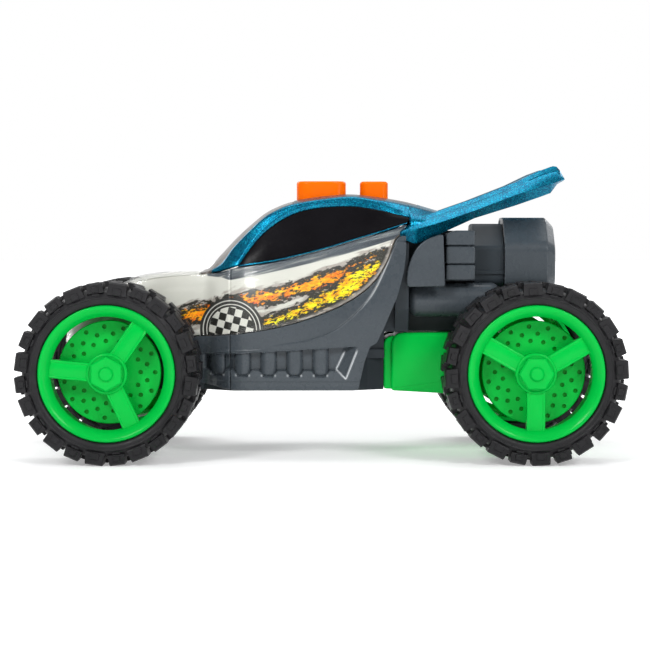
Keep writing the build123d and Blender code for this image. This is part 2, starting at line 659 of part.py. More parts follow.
def housing_half():
    """Left half of the drive housing, with the pin boss and the bush opening."""
    outside = side_slab(HOUSING_SIDE, -HOUSING_HALF_W, 0)
    side_edges = outside.faces().sort_by(Axis.Y)[0].edges()
    outside = fillet(side_edges, 1.5)
    half = outside - side_slab(HOUSING_HOLLOW, -HOUSING_HALF_W + HOUSING_WALL, 1)
    half += rod_y(GEAR_X, AXLE_Z, 2.6, -HOUSING_HALF_W + 1, -25.5)
    half -= rod_y(GEAR_X, AXLE_Z, PIN_R, -HOUSING_HALF_W + HOUSING_WALL, 0)
    half += rod_y(REAR_X, AXLE_Z, BUSH_R + 1.5, -HOUSING_HALF_W + 1, -26.5)
    return half - rod_y(REAR_X, AXLE_Z, BUSH_R, -60, 0)


def housing_right():
    """Right half: the same shell with the motor's cradle."""
    cradle = block(MOTOR_X - 7, MOTOR_X + 7, 0.3, 16, 34.8, AXLE_Z - 7.6)
    return mirrored(housing_half()) + cradle


def motor():
    """Small brushed motor: a can with two flats and a bearing boss."""
    can = rod_y(MOTOR_X, AXLE_Z, 10, -7.5, 17.5) & block(0, 150, -20, 40, AXLE_Z - 7.5, AXLE_Z + 7.5)
    can = fillet(can.faces().sort_by(Axis.Y)[0].edges(), 0.8)
    can += rod_y(MOTOR_X, AXLE_Z, 3.2, -9.0, -7)
    can += rod_y(MOTOR_X, AXLE_Z, 6.5, 17, 19)
    return can - rod_y(MOTOR_X, AXLE_Z, PIN_R + 0.05, -20, -4)


def gear(teeth, width, phase):
    """Straight-sided spur gear along Y with a little backlash; phase turns the first tooth from +X."""
    pitch_r = MODULE * teeth / 2
    step = 360 / teeth
    flanks = ((pitch_r - 1.15 * MODULE, -0.33), (pitch_r, -0.21), (pitch_r + 0.9 * MODULE, -0.09))
    tooth = list(flanks) + [(radius, -share) for radius, share in reversed(flanks)]
    points = []
    for number in range(teeth):
        for radius, share in tooth:
            angle = radians(phase + step * (number + share))
            points.append((radius * cos(angle), radius * sin(angle)))
    disc = extrude(make_face(Polyline(*points, close=True)), amount=width / 2, both=True)
    return Rot(90, 0, 0) * disc


def motor_pinion():
    """Motor shaft with its pressed-on pinion."""
    body = Pos(MOTOR_X, -12.5, AXLE_Z) * gear(PINION_TEETH, 4.4, 180 / PINION_TEETH)
    return body + rod_y(MOTOR_X, AXLE_Z, PIN_R, -15.5, -4.5)


def compound_gear():
    """Large and small wheel in one, running on the gear pin."""
    body = Pos(GEAR_X, -12.5, AXLE_Z) * gear(LARGE_TEETH, 3.6, 0)
    body += Pos(GEAR_X, -17.4, AXLE_Z) * gear(SMALL_TEETH, 6.6, 180 / SMALL_TEETH)
    return body - rod_y(GEAR_X, AXLE_Z, PIN_R + 0.05, -40, 0)


def gear_pin():
    """Fixed pin between the two housing walls."""
    reach = HOUSING_HALF_W - HOUSING_WALL
    return rod_y(GEAR_X, AXLE_Z, PIN_R, -reach, reach)


def axle_gear():
    """Gear pressed on the rear axle."""
    body = Pos(REAR_X, -18.0, AXLE_Z) * gear(AXLE_TEETH, 4.6, 0)
    body += rod_y(REAR_X, AXLE_Z, 4.0, -22, -15.7)
    return body - rod_y(REAR_X, AXLE_Z, AXLE_R, -40, 0)


# ---- wheels, drawn with their outer face to +Z and their middle plane at z = 0 ----------
AXLE_END = 16.4             # axle's end, out from the wheel's middle plane
SPOKE_FACE = 15.6           # spokes' outer face, out from the middle plane


def rim(spoke_angles):
    """Barrel with a rolled outer ring, hub and three raised-edge spokes."""
    rolled = [(RIM_R, -18), (RIM_R, 17.4), (33.4, 18.6), (31.6, 18.2), (29.6, 16.4), (RIM_OPENING_R, 13.8)]
    barrel_inside = [(RIM_OPENING_R, 12.6), (31.0, 11.5), (32.2, 8), (32.2, -18)]
    ring = Polyline(*rolled, *barrel_inside, close=True)
    body = revolve(make_face(Plane.XZ * ring), Axis.Z)
    for angle in spoke_angles:
        spoke = block(6, 29.6, -SPOKE_W / 2, SPOKE_W / 2, SPOKE_FACE - 5.6, SPOKE_FACE)
        spoke -= block(11, 32, -SPOKE_W / 2 + 1.3, SPOKE_W / 2 - 1.3, SPOKE_FACE - 0.7, SPOKE_FACE + 1)
        body += Rot(0, 0, angle) * spoke
    core_top, core_bottom = SPOKE_FACE + 0.8, -21
    body += Pos(0, 0, (core_top + core_bottom) / 2) * Cylinder(HUB_CORE_R, core_top - core_bottom)
    boss = Pos(0, 0, SPOKE_FACE - 2.6) * Cylinder(HUB_R, 6.8)
    body += fillet(boss.faces().sort_by(Axis.Z)[-1].edges(), 1.2)
    return body - Pos(0, 0, -10) * Cylinder(AXLE_R, 60)


def wheel_disc():
    """Dimpled disc behind the spokes, on the hub."""
    disc = Pos(0, 0, 2) * Cylinder(DISC_R, 2.4)
    disc = fillet(disc.edges().filter_by(GeomType.CIRCLE), 0.6)
    for ring_r, offset_angle in ((23.5, 0), (19.8, 12), (16.0, 0)):
        dimple = Cylinder(1.15, 2.0, align=(Align.CENTER, Align.CENTER, Align.MIN))
        places = PolarLocations(ring_r, 15, start_angle=offset_angle)
        disc -= Compound(children=[Pos(0, 0, 2.2) * spot * dimple for spot in places])
    return disc - Pos(0, 0, 2) * Cylinder(HUB_CORE_R + 0.05, 6)


def hub_nut(turn):
    """Hexagonal nut with a domed tip, over the axle's end."""
    hexagon = RegularPolygon(NUT_AF / 2, 6, major_radius=False, rotation=turn)
    nut = extrude(Pos(0, 0, SPOKE_FACE + 0.8) * hexagon, amount=3.0)
    nut = chamfer(nut.faces().sort_by(Axis.Z)[-1].edges(), 0.7)
    dome = Pos(0, 0, SPOKE_FACE + 2.6) * (Sphere(4.0) & Pos(0, 0, 2.4) * Box(9, 9, 4.8))
    return nut + (dome & Pos(0, 0, 10) * Box(20, 20, 22))


def tyre():
    """Carcass with three staggered rows of lugs."""
    half = [(RIM_R + 0.15, 17.2), (34.6, 18.6), (38.3, 19.6), (40.6, 18.9), (43.2, 15.6), (43.6, 9)]
    bead = [(RIM_R + 0.15, -14.6), (40.9, -13.6), (40.9, 13.6), (RIM_R + 0.15, 14.6)]
    profile = half + [(r, -z) for r, z in reversed(half)] + bead
    body = revolve(make_face(Plane.XZ * Polyline(*profile, close=True)), Axis.Z)
    side = TYRE_W / 2
    limit = [(39.5, side), (44.8, side), (TYRE_R, side - 3.5)]
    limit_profile = limit + [(r, -z) for r, z in reversed(limit)] + [(42.0, -14), (42.0, 14)]
    shell = revolve(make_face(Plane.XZ * Polyline(*limit_profile, close=True)), Axis.Z)
    pitch = 360 / LUGS
    rows = ((7.5, side, 0, 6.6), (-side, -7.5, pitch / 2, 6.6), (-5.5, 5.5, pitch / 4, 6.0))
    for z0, z1, phase, width in rows:
        lug = block(41, 50, -width / 2, width / 2, z0, z1)
        lugs = [Rot(0, 0, phase + pitch * n) * lug for n in range(LUGS)]
        body += Compound(children=lugs) & shell
    return body


def place(shape, x, side):
    """Put a wheel piece on the left (-1) or right (+1) end of an axle."""
    left = Pos(x, -TRACK_HALF, AXLE_Z) * (Rot(90, 0, 0) * shape)
    return left if side < 0 else mirrored(left)


def axle(x):
    """Steel axle from nut to nut."""
    reach = TRACK_HALF + AXLE_END
    return rod_y(x, AXLE_Z, AXLE_R, -reach, reach)


# ---- write the sub-parts ---------------------------------------------------------------
os.makedirs("parts", exist_ok=True)

write("chassis_tub", chassis_tub())
write("battery_door", battery_door())
write("battery_box", battery_box())
write("battery_cells", battery_cells())
write("battery_contacts", battery_contacts())
write("body_screws", body_screws())
write("axle_bushes", axle_bushes())
write("power_switch_body", power_switch_body())
write("power_switch_knob", power_switch_knob())
write("speaker", speaker())
write("control_board", control_board())
write("button_board", button_board())
write("main_body", main_body())
write("nose_lower", nose_lower())
write("nose_cover", nose_layer(0, CLEAR_WALL))
write("nose_insert", nose_layer(INSERT_INSET, INSERT_WALL))
write("roof_frame", roof_frame())
write("windscreen_roof_panel", windscreen_roof_panel())
write("spoiler", spoiler())
write("large_button", roof_button(*LARGE_BUTTON))
write("small_button", roof_button(*SMALL_BUTTON))
write("large_button_spring", button_spring(LARGE_BUTTON[0]))
write("small_button_spring", button_spring(SMALL_BUTTON[0]))
write("engine_core", engine_core())
write("engine_end_cap", engine_end_cap())
write("drive_housing_left", housing_half())
write("drive_housing_right", housing_right())
write("motor", motor())
write("motor_pinion", motor_pinion())
write("compound_gear", compound_gear())
write("gear_pin", gear_pin())
write("axle_gear", axle_gear())
write("front_axle", axle(FRONT_X))
write("rear_axle", axle(REAR_X))

for name, piece in (
    ("side_cover", side_layer(0, CLEAR_WALL)),
    ("side_insert", side_layer(INSERT_INSET, INSERT_WALL)),
    ("side_window", side_window()),
    ("vent_stack", vent_stack()),
    ("quarter_shield", quarter_shield()),
    ("side_tank", side_tank()),
):
    write(f"{name}_left", piece)
    write(f"{name}_right", mirrored(piece))

tyre_shape = tyre()
disc_shape = wheel_disc()
for end, x, spokes, nut_turn in (("front", FRONT_X, FRONT_SPOKES, 30), ("rear", REAR_X, REAR_SPOKES, 0)):
    rim_shape = rim(spokes)
    for side_name, side in (("left", -1), ("right", 1)):
        write(f"{end}_{side_name}_rim", place(rim_shape, x, side))
        write(f"{end}_{side_name}_tyre", place(tyre_shape, x, side))
        write(f"{end}_{side_name}_disc", place(disc_shape, x, side))
    nuts = [place(hub_nut(nut_turn), x, side) for side in (-1, 1)]
    write(f"{end}_hub_nuts", Compound(children=nuts))
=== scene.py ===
import math
import bmesh
import bpy
import numpy as np
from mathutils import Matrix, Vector


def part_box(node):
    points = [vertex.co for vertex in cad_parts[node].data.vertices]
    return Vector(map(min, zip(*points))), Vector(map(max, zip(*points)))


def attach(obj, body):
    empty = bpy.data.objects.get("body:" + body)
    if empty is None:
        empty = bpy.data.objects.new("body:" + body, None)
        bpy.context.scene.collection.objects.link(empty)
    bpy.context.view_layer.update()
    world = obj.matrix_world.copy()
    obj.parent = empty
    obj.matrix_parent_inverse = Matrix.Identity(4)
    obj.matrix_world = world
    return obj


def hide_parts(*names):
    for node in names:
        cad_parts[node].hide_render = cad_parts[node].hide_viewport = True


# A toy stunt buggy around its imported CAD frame. Lengths in this script are millimetres in the
# row frame (+X tail, +Y right, +Z up) and are scaled to metres when a mesh is made.

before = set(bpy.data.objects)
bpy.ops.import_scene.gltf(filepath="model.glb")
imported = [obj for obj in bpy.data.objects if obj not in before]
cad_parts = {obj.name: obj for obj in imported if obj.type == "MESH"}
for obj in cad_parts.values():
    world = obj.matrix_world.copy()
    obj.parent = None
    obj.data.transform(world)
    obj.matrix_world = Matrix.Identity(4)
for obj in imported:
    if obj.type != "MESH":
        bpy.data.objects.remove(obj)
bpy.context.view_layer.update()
MM = 0.001
SAME_POINT = 1e-6           # metres


def centre_mm(node):
    """Middle of a CAD node's box, in millimetres."""
    low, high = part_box(node)
    return [(low[i] + high[i]) / 2 / MM for i in range(3)]


FRONT_X, _, AXLE_Z = centre_mm("front_axle")
REAR_X = centre_mm("rear_axle")[0]
TRACK_HALF = centre_mm("front_right_tyre")[1]
SEAM_X = -47.5
GAP = 0.15
SIDES = (("left", -1), ("right", 1))


# ---- meshes ------------------------------------------------------------------------------
def make_piece(name, verts, faces, material, body="car", replaces=(), smooth=True, crease=None):
    """A mesh object from millimetre points, riding on a CAD body."""
    mesh = bpy.data.meshes.new(name)
    mesh.from_pydata((np.asarray(verts, float) * MM).tolist(), [], [tuple(map(int, f)) for f in faces])
    bm = bmesh.new()
    bm.from_mesh(mesh)
    bmesh.ops.remove_doubles(bm, verts=bm.verts, dist=SAME_POINT)
    bmesh.ops.recalc_face_normals(bm, faces=bm.faces)
    bm.to_mesh(mesh)
    bm.free()
    piece = bpy.data.objects.new(name, mesh)
    bpy.context.scene.collection.objects.link(piece)
    mesh.materials.append(material)
    for polygon in mesh.polygons:
        polygon.use_smooth = smooth
    if crease:
        mesh.set_sharp_from_angle(angle=math.radians(crease))
    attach(piece, body)
    if replaces:
        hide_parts(*replaces)
    return piece


def points_of(piece):
    """The x, y and z of a piece's points, in millimetres."""
    points = np.empty(len(piece.data.vertices) * 3)
    piece.data.vertices.foreach_get("co", points)
    return (points.reshape(-1, 3) / MM).T


def store(piece, **layers):
    """Values at a piece's points, for its material to read by name."""
    for name, values in layers.items():
        layer = piece.data.attributes.new(name, "FLOAT", "POINT")
        layer.data.foreach_set("value", values.astype(np.float32))


def soften(piece, width, segments=2, angle=35):
    """Rounded edges with clean shading."""
    bevel = piece.modifiers.new("edge", "BEVEL")
    bevel.width = width * MM
    bevel.segments = segments
    bevel.limit_method = "ANGLE"
    bevel.angle_limit = math.radians(angle)
    bevel.harden_normals = False
    normals = piece.modifiers.new("normals", "WEIGHTED_NORMAL")
    normals.keep_sharp = True
    return piece


def grid_faces(rows, columns, start=0, wrap=False):
    """Quads over a grid of points stored row by row; wrap joins the last column to the first."""
    faces = []
    for i in range(rows - 1):
        for j in range(columns if wrap else columns - 1):
            a = start + i * columns + j
            b = start + i * columns + (j + 1) % columns
            faces.append((a, b, b + columns, a + columns))
    return faces


def loft(loops):
    """Closed body through equal loops of points, capped at both ends."""
    loops = np.asarray(loops, float)
    count, size, _ = loops.shape
    verts = loops.reshape(-1, 3)
    faces = grid_faces(count, size, wrap=True)
    faces.append(tuple(range(size - 1, -1, -1)))
    faces.append(tuple((count - 1) * size + j for j in range(size)))
    return verts, faces


def lathe(profile, segments=160):
    """Closed ring or disc from (r, z) points turned about Z; the profile is a closed loop."""
    profile = np.asarray(profile, float)
    angles = np.linspace(0, 2 * math.pi, segments, endpoint=False)
    verts = []
    for a in angles:
        verts.append(np.stack([profile[:, 0] * math.cos(a), profile[:, 0] * math.sin(a), profile[:, 1]], 1))
    verts = np.concatenate(verts)
    size = len(profile)
    faces = []
    for i in range(segments):
        for j in range(size):
            a, b = i * size + j, i * size + (j + 1) % size
            c = ((i + 1) % segments) * size + (j + 1) % size
            d = ((i + 1) % segments) * size + j
            faces.append((a, b, c, d))
    return verts, faces


def join(parts):
    """One (verts, faces) from several."""
    verts, faces, count = [], [], 0
    for v, f in parts:
        v = np.asarray(v, float)
        verts.append(v)
        faces += [tuple(i + count for i in face) for face in f]
        count += len(v)
    return np.concatenate(verts), faces


def prism(outline, y0, y1):
    """Closed body over a closed (x, z) outline, from y0 to y1."""
    loops = [[(x, y, z) for x, z in outline] for y in (y0, y1)]
    return loft(loops)


def box_body(x0, x1, y0, y1, z0, z1):
    """Box as a closed body."""
    return prism(((x0, z0), (x1, z0), (x1, z1), (x0, z1)), y0, y1)


def smooth_line(points, count):
    """Evenly placed points on a smooth curve through given points (Catmull-Rom)."""
    points = np.asarray(points, float)
    padded = np.concatenate([[2 * points[0] - points[1]], points, [2 * points[-1] - points[-2]]])
    dense = []
    for i in range(1, len(padded) - 2):
        p0, p1, p2, p3 = padded[i - 1:i + 3]
        for t in np.linspace(0, 1, 24, endpoint=False):
            dense.append(0.5 * (2 * p1 + (p2 - p0) * t + (2 * p0 - 5 * p1 + 4 * p2 - p3) * t * t
                                + (3 * p1 - p0 - 3 * p2 + p3) * t ** 3))
    dense.append(points[-1])
    dense = np.array(dense)
    run = np.concatenate([[0], np.cumsum(np.linalg.norm(np.diff(dense, axis=0), axis=1))])
    want = np.linspace(0, run[-1], count)
    return np.stack([np.interp(want, run, dense[:, k]) for k in range(points.shape[1])], 1)


def hermite(x, xs, ys):
    """Monotone cubic through a table, so that a bulge never overshoots its points."""
    x, xs, ys = np.asarray(x, float), np.asarray(xs, float), np.asarray(ys, float)
    h = np.diff(xs)
    d = np.diff(ys) / h
    slope = np.zeros_like(ys)
    same = d[:-1] * d[1:] > 0
    w1, w2 = 2 * h[1:] + h[:-1], h[1:] + 2 * h[:-1]
    slope[1:-1][same] = (w1 + w2)[same] / (w1[same] / d[:-1][same] + w2[same] / d[1:][same])
    slope[0], slope[-1] = d[0], d[-1]
    k = np.clip(np.searchsorted(xs, x) - 1, 0, len(h) - 1)
    t = np.clip((x - xs[k]) / h[k], 0, 1)
    return ((1 + 2 * t) * (1 - t) ** 2 * ys[k] + t * (1 - t) ** 2 * h[k] * slope[k]
            + t * t * (3 - 2 * t) * ys[k + 1] + t * t * (t - 1) * h[k] * slope[k + 1])


# ---- the body's outer skin ---------------------------------------------------------------
# x, bottom z and half-width, then half-width and z of the widest line, the belt line and the
# roof edge, then the top z: the CAD skin's stations, with the hood and roof a little lower.
SECTIONS = np.array((
    (-138, 50, 13, 17, 56, 17, 62, 14, 66, 67.5),
    (-130, 44, 20, 25, 54, 25, 67, 22, 73.5, 76),
    (-120, 41, 24, 29, 54, 29.5, 75, 26, 81.5, 84),
    (-108, 40, 26, 30.5, 55, 30.5, 81, 28, 88, 90.5),
    (-96, 40, 26, 30.5, 57, 30.5, 86.5, 29, 93.6, 95.6),
    (-80, 40, 26, 30.5, 60, 30.6, 90, 30, 96.2, 97.8),
    (-62, 38, 28, 31.5, 62, 32.5, 91, 31.5, 97.2, 98.7),
    (-54, 37, 36, 38.5, 64, 35.8, 93.5, 33, 99.8, 106.5),
    (-46, 36, 42, 43.5, 66, 38.2, 98, 32.6, 110, 115),
    (-38, 36, 44.5, 46, 68, 39.5, 102.3, 32.2, 118.4, 122.4),
    (-28, 36, 46, 47.4, 70, 40, 105, 31.8, 127, 130),
    (-16, 36, 46.5, 48, 71, 40, 108.2, 31.2, 132.2, 134.8),
    (0, 36, 46.5, 48, 72, 40, 112.3, 31, 135.2, 137.5),
    (15, 36, 46, 47.6, 73, 40, 116.2, 31, 136.6, 138.6),
    (30, 38, 44.5, 46.6, 76, 40.3, 120, 31, 134.8, 137.1),
    (44, 42, 41, 44.4, 80, 40.8, 123.4, 31, 132.2, 134.8),
    (62, 52, 36, 40, 88, 38, 122, 29, 127.8, 129.8),
))
NOSE_ROUND = 7.0            # length over which the nose closes
NOSE_CENTRE_Z = 59.0


class Section:
    """The skin's cross-section at one x, measured along the skin from the top centre."""

    def __init__(self, x):
        values = [float(hermite(x, SECTIONS[:, 0], SECTIONS[:, k])) for k in range(1, 10)]
        bottom, bottom_w, wide_w, wide_z, belt_w, belt_z, edge_w, edge_z, top = values
        y = np.linspace(0, edge_w, 40)
        roof = np.stack([y, edge_z + (top - edge_z) * (1 - (y / edge_w) ** 2.4)], 1)
        z = np.linspace(edge_z, bottom, 90)[1:]
        levels, widths = (bottom, wide_z, belt_z, edge_z), (bottom_w, wide_w, belt_w, edge_w)
        flank = np.stack([hermite(z, levels, widths), z], 1)
        under = np.stack([np.linspace(bottom_w, 0, 20)[1:], np.full(19, bottom)], 1)
        path = np.concatenate([roof, flank, under])
        run = np.concatenate([[0], np.cumsum(np.linalg.norm(np.diff(path, axis=0), axis=1))])
        self.s = np.linspace(0, run[-1], 420)
        path = np.stack([np.interp(self.s, run, path[:, k]) for k in range(2)], 1)
        for _ in range(10):
            path[1:-1] = (path[:-2] + 2 * path[1:-1] + path[2:]) / 4
        ahead = SECTIONS[0, 0] + NOSE_ROUND - x
        if ahead > 0:
            scale = math.sqrt(max(1 - (ahead / (NOSE_ROUND + 0.02)) ** 2, 0.0))
            path = (path - [0, NOSE_CENTRE_Z]) * scale + [0, NOSE_CENTRE_Z]
        self.path = path
        step = np.gradient(path, axis=0)
        length = np.maximum(np.linalg.norm(step, axis=1), 1e-6)
        self.normal = np.stack([-step[:, 1], step[:, 0]], 1) / length[:, None]
        self.normal[0] = (0, 1)
        self.corner = int(np.argmin(np.abs(self.s - run[39 + 89])))

    def at_z(self, z):
        """Distance along the skin to a height on the flank."""
        levels = self.path[:self.corner + 1, 1]
        return float(np.interp(-z, -levels, self.s[:self.corner + 1]))

    def at_y(self, y):
        """Distance along the skin to a half-width on the roof."""
        count = int(np.argmax(self.path[:, 0]))
        return float(np.interp(y, self.path[:count, 0], self.s[:count]))

    def bottom_corner(self):
        return float(self.s[self.corner])

    def point(self, s, inset):
        """Points at signed distances from the top centre; positive is the left-hand side."""
        s = np.asarray(s, float)
        a = np.abs(s)
        y = np.interp(a, self.s, self.path[:, 0])
        z = np.interp(a, self.s, self.path[:, 1])
        ny = np.interp(a, self.s, self.normal[:, 0])
        nz = np.interp(a, self.s, self.normal[:, 1])
        side = np.where(s >= 0, -1.0, 1.0)
        return side * (y - ny * inset), z - nz * inset


def span(x0, x1, step=1.5, extra=()):
    """Stations from x0 to x1 with some fixed ones added."""
    count = max(2, int(round((x1 - x0) / step)) + 1)
    values = set(np.round(np.linspace(x0, x1, count), 3).tolist()) | {e for e in extra if x0 < e < x1}
    return sorted(values)


def line_z(points):
    """Height of a polyline at x."""
    xs, zs = zip(*points)
    return lambda x: float(np.interp(x, xs, zs))


def curve_z(points):
    """Height of a smooth line at x."""
    xs, zs = zip(*points)
    return lambda x: float(hermite(x, xs, zs))


def heights(line, xs):
    """Height of a line at each of many x."""
    return np.array([line(x) for x in xs])


def above(line, xs, zs):
    """Distance of points above a line, square to it."""
    slope = heights(line, xs + 0.5) - heights(line, xs - 0.5)
    return (zs - heights(line, xs)) / np.sqrt(1 + slope ** 2)


PRINT_EDGE = curve_z(((-138, 59), (-100, 61.5), (-63.7, 63.6), (-44.9, 65.1), (-31, 67.1), (-15.2, 70.6),
                      (-0.3, 75.5), (14.5, 82.4), (27.4, 92.4), (34.3, 103.2), (39.1, 115), (44.5, 117.9)))
BELT = curve_z(((-47.5, 100.4), (-42.9, 101.1), (-26.7, 103.4), (-12.1, 106.6), (1, 109.9), (17, 114.7),
                (35.2, 120.2), (44.7, 123.4)))
BEAD_FOOT = curve_z(((-47.5, 93.0), (-26.7, 97.1), (1, 103.6), (35.2, 113.6), (45, 117.0)))
ARCH = curve_z(((-42.9, 101.2), (-36.9, 110.1), (-29, 118.7), (-19.1, 125.6), (-8.9, 129.7), (4.4, 131.6),
                (14.7, 131.9), (29.5, 130.2), (46.1, 126.1), (60, 122.5)))
REAR_EDGE = line_z(((18.9, 36), (22.3, 51.1), (25.1, 58.8), (28.6, 60.9), (32.1, 68.1), (39.3, 84.9),
                    (42.8, 98.3), (44.1, 110.4)))
SCREEN_EDGE = curve_z(((-64, 31.0), (-54, 31.6), (-40, 31.2), (-28, 29.9), (-18, 27.6), (-10, 26.0),
                       (20, 25.2), (62, 24.0)))
BEAD = 6.4                  # height of the clear bead under the windows
COVER_T = 1.2               # clear covers
SKIN_T = 2.2                # side mouldings


# ---- materials ---------------------------------------------------------------------------
DISC_FACE = 57.1            # distance from the middle plane to just under the wheel discs' face
DIMPLE_FLOOR = 56.5
INK = (0.013, 0.013, 0.009)
BADGE_INK = (0.02, 0.02, 0.017)
CLEAR_SHARE = 0.6           # share of a view that passes straight through the clear covers


class Nodes:
    """A node tree with short names for the steps used here."""

    def __init__(self, tree):
        self.tree = tree

    def plug(self, socket, value):
        """Link a socket or give it a plain value; colours have three numbers."""
        if isinstance(value, bpy.types.NodeSocket):
            self.tree.links.new(value, socket)
        else:
            socket.default_value = (*value, 1.0) if socket.type == "RGBA" else value

    def add(self, kind, inputs=None, **settings):
        """A node with its settings, plain values and links."""
        made = self.tree.nodes.new("ShaderNode" + kind)
        for key, value in settings.items():
            setattr(made, key, value)
        for key, value in (inputs or {}).items():
            self.plug(made.inputs[key], value)
        return made

    def between(self, value, low, high, out_low=0.0, out_high=1.0):
        """Clamped linear map of a value."""
        inputs = {"Value": value, "From Min": low, "From Max": high, "To Min": out_low, "To Max": out_high}
        return self.add("MapRange", inputs).outputs["Result"]

    def maths(self, operation, a, b=0.0):
        """One arithmetic step."""
        return self.add("Math", {0: a, 1: b}, operation=operation).outputs[0]

    def mix(self, factor, a, b):
        """Colour a to colour b."""
        return self.add("Mix", {0: factor, 6: a, 7: b}, data_type="RGBA").outputs[2]

    def ramp(self, value, stops, interpolation="LINEAR"):
        """Colour ramp through (place, colour) stops."""
        made = self.add("ValToRGB", {"Fac": value})
        made.color_ramp.interpolation = interpolation
        elements = made.color_ramp.elements
        for element, (place, colour) in zip(elements, (stops[0], stops[-1])):
            element.position, element.color = place, (*colour, 1.0)
        for place, colour in stops[1:-1]:
            elements.new(place).color = (*colour, 1.0)
        return made.outputs["Color"]


class Paint(Nodes):
    """A Principled material with its object coordinates."""

    def __init__(self, name):
        self.material = bpy.data.materials.new(name)
        self.material.use_nodes = True
        super().__init__(self.material.node_tree)
        self.shader = self.tree.nodes["Principled BSDF"]
        self.coords = self.add("TexCoord").outputs["Object"]

    def noise(self, scale, detail=3.0, rough=0.55, coords=None):
        """Noise value at a scale in cells per metre."""
        place = self.coords if coords is None else coords
        inputs = {"Vector": place, "Scale": scale, "Detail": detail, "Roughness": rough}
        return self.add("TexNoise", inputs).outputs["Fac"]

    def uneven(self, scale, detail, low, high, out_low=0.0, out_high=1.0):
        """Noise stretched to a range."""
        return self.between(self.noise(scale, detail), low, high, out_low, out_high)

    def mapped(self, **moves):
        """Object coordinates with a rotation, a scale or both."""
        return self.add("Mapping", {"Vector": self.coords, **moves}).outputs[0]

    def stretched(self, degrees, scale):
        """Coordinates turned about Y, then scaled, so that a texture runs along a slanting line."""
        turned = self.mapped(Rotation=(0, math.radians(degrees), 0))
        return self.add("Mapping", {"Vector": turned, "Scale": scale}).outputs[0]

    def axis(self, letter):
        """One object coordinate."""
        return self.add("SeparateXYZ", {0: self.coords}).outputs[letter]

    def attribute(self, name):
        """A value stored at the piece's points."""
        return self.add("Attribute", attribute_name=name).outputs["Fac"]

    def finish(self, colour, roughness, height=None, distance=0.0, strength=1.0, **fixed):
        """Colour, roughness, a bump (distance in metres), then plain values; _ stands for a space."""
        self.plug(self.shader.inputs["Base Color"], colour)
        self.plug(self.shader.inputs["Roughness"], roughness)
        if height is not None:
            bump = self.add("Bump", {"Height": height, "Distance": distance, "Strength": strength})
            self.plug(self.shader.inputs["Normal"], bump.outputs["Normal"])
        for name, value in fixed.items():
            self.plug(self.shader.inputs[name.replace("_", " ")], value)
        return self.material


def plastic(name, colour, rough=0.32, grain=0.00003, drift=0.12, specular=0.5, dimple_shade=None, polish=None):
    """Moulded plastic: slight colour drift, uneven gloss, a fine grain and a few scuffs. The wheel
    discs give a deeper colour as painted shade on the floors of their dimples; the side
    mouldings give a paler colour as painted glints along some edges."""
    paint = Paint(name)
    dark = [c * (1 - drift) for c in colour]
    light = [min(1.0, c * (1 + drift * 0.6) + 0.002) for c in colour]
    surface = paint.mix(paint.uneven(38.0, 4.0, 0.3, 0.7), dark, light)
    # painted shade: the dimple floors darken with depth below the disc's face
    if dimple_shade:
        out = paint.maths("ABSOLUTE", paint.axis("Y"))
        depth = paint.between(out, DIMPLE_FLOOR * MM, DISC_FACE * MM, 1.0, 0.0)
        surface = paint.mix(depth, surface, dimple_shade)
    # painted glints: a paler colour on edges, by the amount each point stores
    if polish:
        surface = paint.mix(paint.attribute("polish"), surface, polish)
    gloss = paint.uneven(260.0, 5.0, 0.3, 0.75, rough - 0.05, rough + 0.09)
    scratched = paint.mapped(Rotation=(0.3, 0.2, 0.5), Scale=(1, 9, 5))
    scratch = paint.between(paint.noise(210.0, 2.0, coords=scratched), 0.72, 0.80, 0.0, 0.04)
    return paint.finish(surface, paint.maths("ADD", gloss, scratch), paint.noise(1400.0, 2.0), grain, 0.6,
                        Specular_IOR_Level=specular)


def flake_paint(name):
    """Deep blue metallic lacquer full of cyan and silver flakes."""
    paint = Paint(name)
    flakes = paint.add("TexVoronoi", {"Vector": paint.coords, "Scale": 3600.0})
    tint = paint.add("SeparateColor", {"Color": flakes.outputs["Color"]}).outputs
    base = paint.mix(paint.uneven(120.0, 5.0, 0.35, 0.7), (0.0, 0.058, 0.135), (0.0, 0.120, 0.225))
    cyan = paint.mix(paint.between(tint[0], 0.5, 1.15), base, (0.0, 0.40, 0.58))
    silver = paint.mix(paint.between(tint[1], 0.95, 0.97, 0.0, 0.5), cyan, (0.03, 0.60, 0.76))
    return paint.finish(silver, paint.between(tint[2], 0.0, 1.0, 0.22, 0.42), tint[1], 0.00004, 0.4,
                        Metallic=0.9, Coat_Weight=0.08, Coat_Roughness=0.06)


def rubber(name):
    """Tyre rubber: near black, dull, finely pitted, with a dusty bloom."""
    paint = Paint(name)
    bloom = paint.between(paint.noise(90.0, 6.0, 0.65), 0.35, 0.75)
    colour = paint.mix(bloom, (0.0065, 0.0065, 0.0075), (0.015, 0.014, 0.016))
    pits = paint.add("TexVoronoi", {"Vector": paint.coords, "Scale": 1500.0}).outputs["Distance"]
    height = paint.maths("ADD", pits, paint.noise(300.0, 3.0))
    return paint.finish(colour, paint.uneven(420.0, 4.0, 0.3, 0.7, 0.36, 0.58), height, 0.00006, 0.5,
                        Specular_IOR_Level=0.28)


def glossy_black(name):
    """Gloss black window with faint dust."""
    paint = Paint(name)
    colour = paint.mix(paint.uneven(60.0, 5.0, 0.3, 0.8), (0.005, 0.0045, 0.0055), (0.008, 0.0075, 0.009))
    dust = paint.uneven(700.0, 6.0, 0.45, 0.8, 0.16, 0.34)
    return paint.finish(colour, dust, paint.noise(500.0), 0.00002, 0.4, Specular_IOR_Level=0.04)


